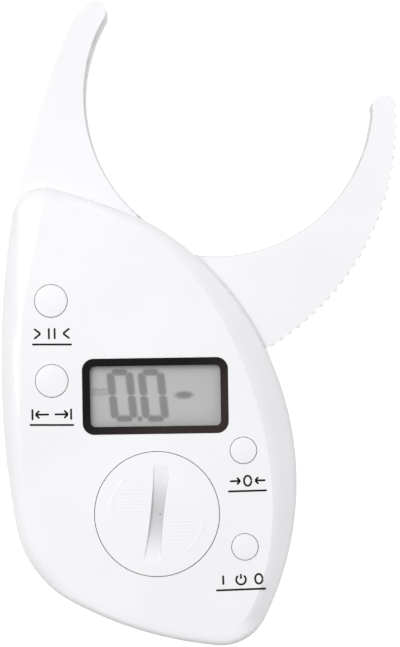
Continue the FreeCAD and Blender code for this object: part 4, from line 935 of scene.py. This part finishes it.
def capsule(x, y, start, end, thick):
    """How far places lie inside a thick line, in millimetres, negative outside."""
    ax, ay = end[0] - start[0], end[1] - start[1]
    share = ((x - start[0]) * ax + (y - start[1]) * ay) / max(ax * ax + ay * ay, 1e-9)
    share = np.clip(share, 0, 1)
    return thick / 2 - np.hypot(x - start[0] - share * ax, y - start[1] - share * ay)


def nought(x, y, centre):
    """Six segments of a seven-segment figure, leaning left at the top."""
    px = x - centre[0] + SLANT * (y - centre[1])
    py = y - centre[1]
    wide, high = DIGIT_WIDE / 2, DIGIT_HIGH / 2
    bars = []
    for side in (-1, 1):
        bars.append(capsule(px, py, (side * wide, 1.0), (side * wide, high - 1.1), SEGMENT))
        bars.append(capsule(px, py, (side * wide, -1.0), (side * wide, 1.1 - high), SEGMENT))
        bars.append(capsule(px, py, (-wide + 1.2, side * high), (wide - 1.2, side * high),
                            SEGMENT * 0.8))
    return np.max(bars, axis=0)


def small_m(x, y, centre):
    """Three uprights under a bar."""
    px, py = x - centre[0], y - centre[1]
    bars = [capsule(px, py, (step * UNIT_STEP, -0.85), (step * UNIT_STEP, 0.75), UNIT_LINE)
            for step in (-1, 0, 1)]
    bars.append(capsule(px, py, (-UNIT_STEP, 0.8), (UNIT_STEP, 0.8), UNIT_LINE))
    return np.max(bars, axis=0)


def display_ink(x, y):
    """Darkness of the display: figures 0.0 with a unit before them and a minus behind."""
    minus = 0.9 - 0.9 * np.hypot((x - 6.05) / 2.3, (y + 27.57) / 0.95)
    shapes = [nought(x, y, (-10.07, -27.45)), nought(x, y, (-1.95, -27.58)),
              capsule(x, y, (-5.5, -33.6), (-5.5, -33.6), 1.3), minus]
    figures = rise(np.max(shapes, axis=0), -SOFT, SOFT)
    unit = np.max([small_m(x, y, (-16.9, -26.5)), small_m(x, y, (-14.75, -26.5))], axis=0)
    return np.maximum(figures, UNIT_DARK * rise(unit, -UNIT_SOFT, UNIT_SOFT))


def crystal_face():
    """A flat sheet just above the glass, fine enough to carry the figures as an attribute."""
    low, high = WINDOW_LOW + 0.1, WINDOW_HIGH - 0.1
    columns = int((high[0] - low[0]) / PIXEL)
    rows = int((high[1] - low[1]) / PIXEL)
    x, y = np.meshgrid(np.linspace(low[0], high[0], columns), np.linspace(low[1], high[1], rows))
    level = np.full_like(x, (GLASS_TOP + WINDOW_LOW[2]) / 2)
    mesh = mesh_of("crystal_face", [(np.stack([x, y, level], -1), False)])
    give_attribute(mesh, "ink", lambda place, normal: display_ink(*place[:2]))
    add_piece(mesh, "crystal_face", "casing", "lcd_glass", SEGMENTS)


crystal_face()


# ---------------------------------------------------------------- floor, light and camera

FLOOR_SIDE = 60.0
FLOOR_DROP = 0.05
FLOOR_GLOW = 0.66
SKY_LEVEL = 0.585
SKY_SLOPE = (-0.015, 0.02, 0.0)
GROUND_LEVEL = 0.4
GROUND_SPAN = (-0.35, -0.05)
CAMERA_HEIGHT = 436.0
CAMERA_PLACE = (10.48, -9.05)
CAMERA_ROLL = math.radians(-0.86)
FOCAL_PIXELS = 1620.0
LONG_SIDE_PIXELS = 647
SENSOR = 36.0


def floor():
    """A pale floor that camera rays see as white, darker only where the object shades it."""
    bpy.ops.mesh.primitive_plane_add(size=FLOOR_SIDE, location=(0, 0, -FLOOR_DROP * MM))
    plane = bpy.context.object
    plane.name = "floor"
    finish = Finish("floor_white", Roughness=0.9, Specular_IOR_Level=0.0)
    finish.material.cycles.emission_sampling = "NONE"
    finish.set("Base Color", finish.blend(finish.noise(60.0), (0.8, 0.8, 0.8), (0.78, 0.78, 0.78)))
    finish.set("Emission Color", (1.0, 1.0, 1.0))
    finish.set("Emission Strength", finish.seen() * FLOOR_GLOW)
    back = finish.node("ShaderNodeNewGeometry", out="Backfacing")
    finish.mix_in(back, finish.node("ShaderNodeBsdfTransparent"))
    plane.data.materials.append(finish.material)
    plane.visible_diffuse = False
    plane.visible_shadow = False


def room():
    """White surroundings. Surfaces are lit by a sky a little brighter towards the display's
    top and left. Camera rays, mirrored rays and rays through clear parts meet white instead.
    Below the horizon all of it is darker."""
    world = bpy.data.worlds.new("room")
    world.use_nodes = True
    bpy.context.scene.world = world
    nodes = Nodes(world.node_tree)
    aim = nodes.node("ShaderNodeTexCoord", out="Generated")
    sky = nodes.node("ShaderNodeVectorMath", {"operation": "DOT_PRODUCT"},
                     {0: aim, 1: SKY_SLOPE}, out="Value") + SKY_LEVEL
    ground = nodes.node("ShaderNodeMapRange", None,
                        {0: nodes.split(aim)[2], 1: GROUND_SPAN[0], 2: GROUND_SPAN[1],
                         3: GROUND_LEVEL, 4: 1.0})
    level = nodes.node("ShaderNodeMix", None, {0: nodes.seen(), 2: sky, 3: 1.0})
    background = world.node_tree.nodes["Background"].inputs
    nodes.feed(background["Color"], (1.0, 1.0, 1.0))
    nodes.feed(background["Strength"], level * ground)


def softbox(name, place, side, power, mirrored):
    """A large square lamp that looks at the middle of the caliper. One that is mirrored shows
    in shiny surfaces and lights nothing else; any other lights and isn't mirrored."""
    lamp = bpy.data.lights.new(name, "AREA")
    lamp.shape = "SQUARE"
    lamp.size, lamp.energy = side, power
    holder = bpy.data.objects.new(name, lamp)
    holder.location = place
    holder.rotation_euler = holder.location.to_track_quat("Z", "Y").to_euler()
    holder.visible_diffuse, holder.visible_glossy = not mirrored, mirrored
    bpy.context.scene.collection.objects.link(holder)


def camera():
    """A camera straight above the caliper, its long side along the casing."""
    lens = bpy.data.cameras.new("camera")
    lens.sensor_width = SENSOR
    lens.lens = FOCAL_PIXELS / LONG_SIDE_PIXELS * SENSOR
    lens.clip_start, lens.clip_end = 0.01, 20.0
    holder = bpy.data.objects.new("camera", lens)
    holder.location = (CAMERA_PLACE[0] * MM, CAMERA_PLACE[1] * MM, CAMERA_HEIGHT * MM)
    holder.rotation_euler = (0, 0, CAMERA_ROLL)
    bpy.context.scene.collection.objects.link(holder)
    bpy.context.scene.camera = holder


floor()
room()
softbox("key", (-0.29, 0.43, 1.18), 0.85, 9.55, False)
softbox("strip", (-0.466, 0.116, 0.64), 0.34, 1.7, True)
camera()
bpy.context.scene.view_settings.view_transform = "Standard"
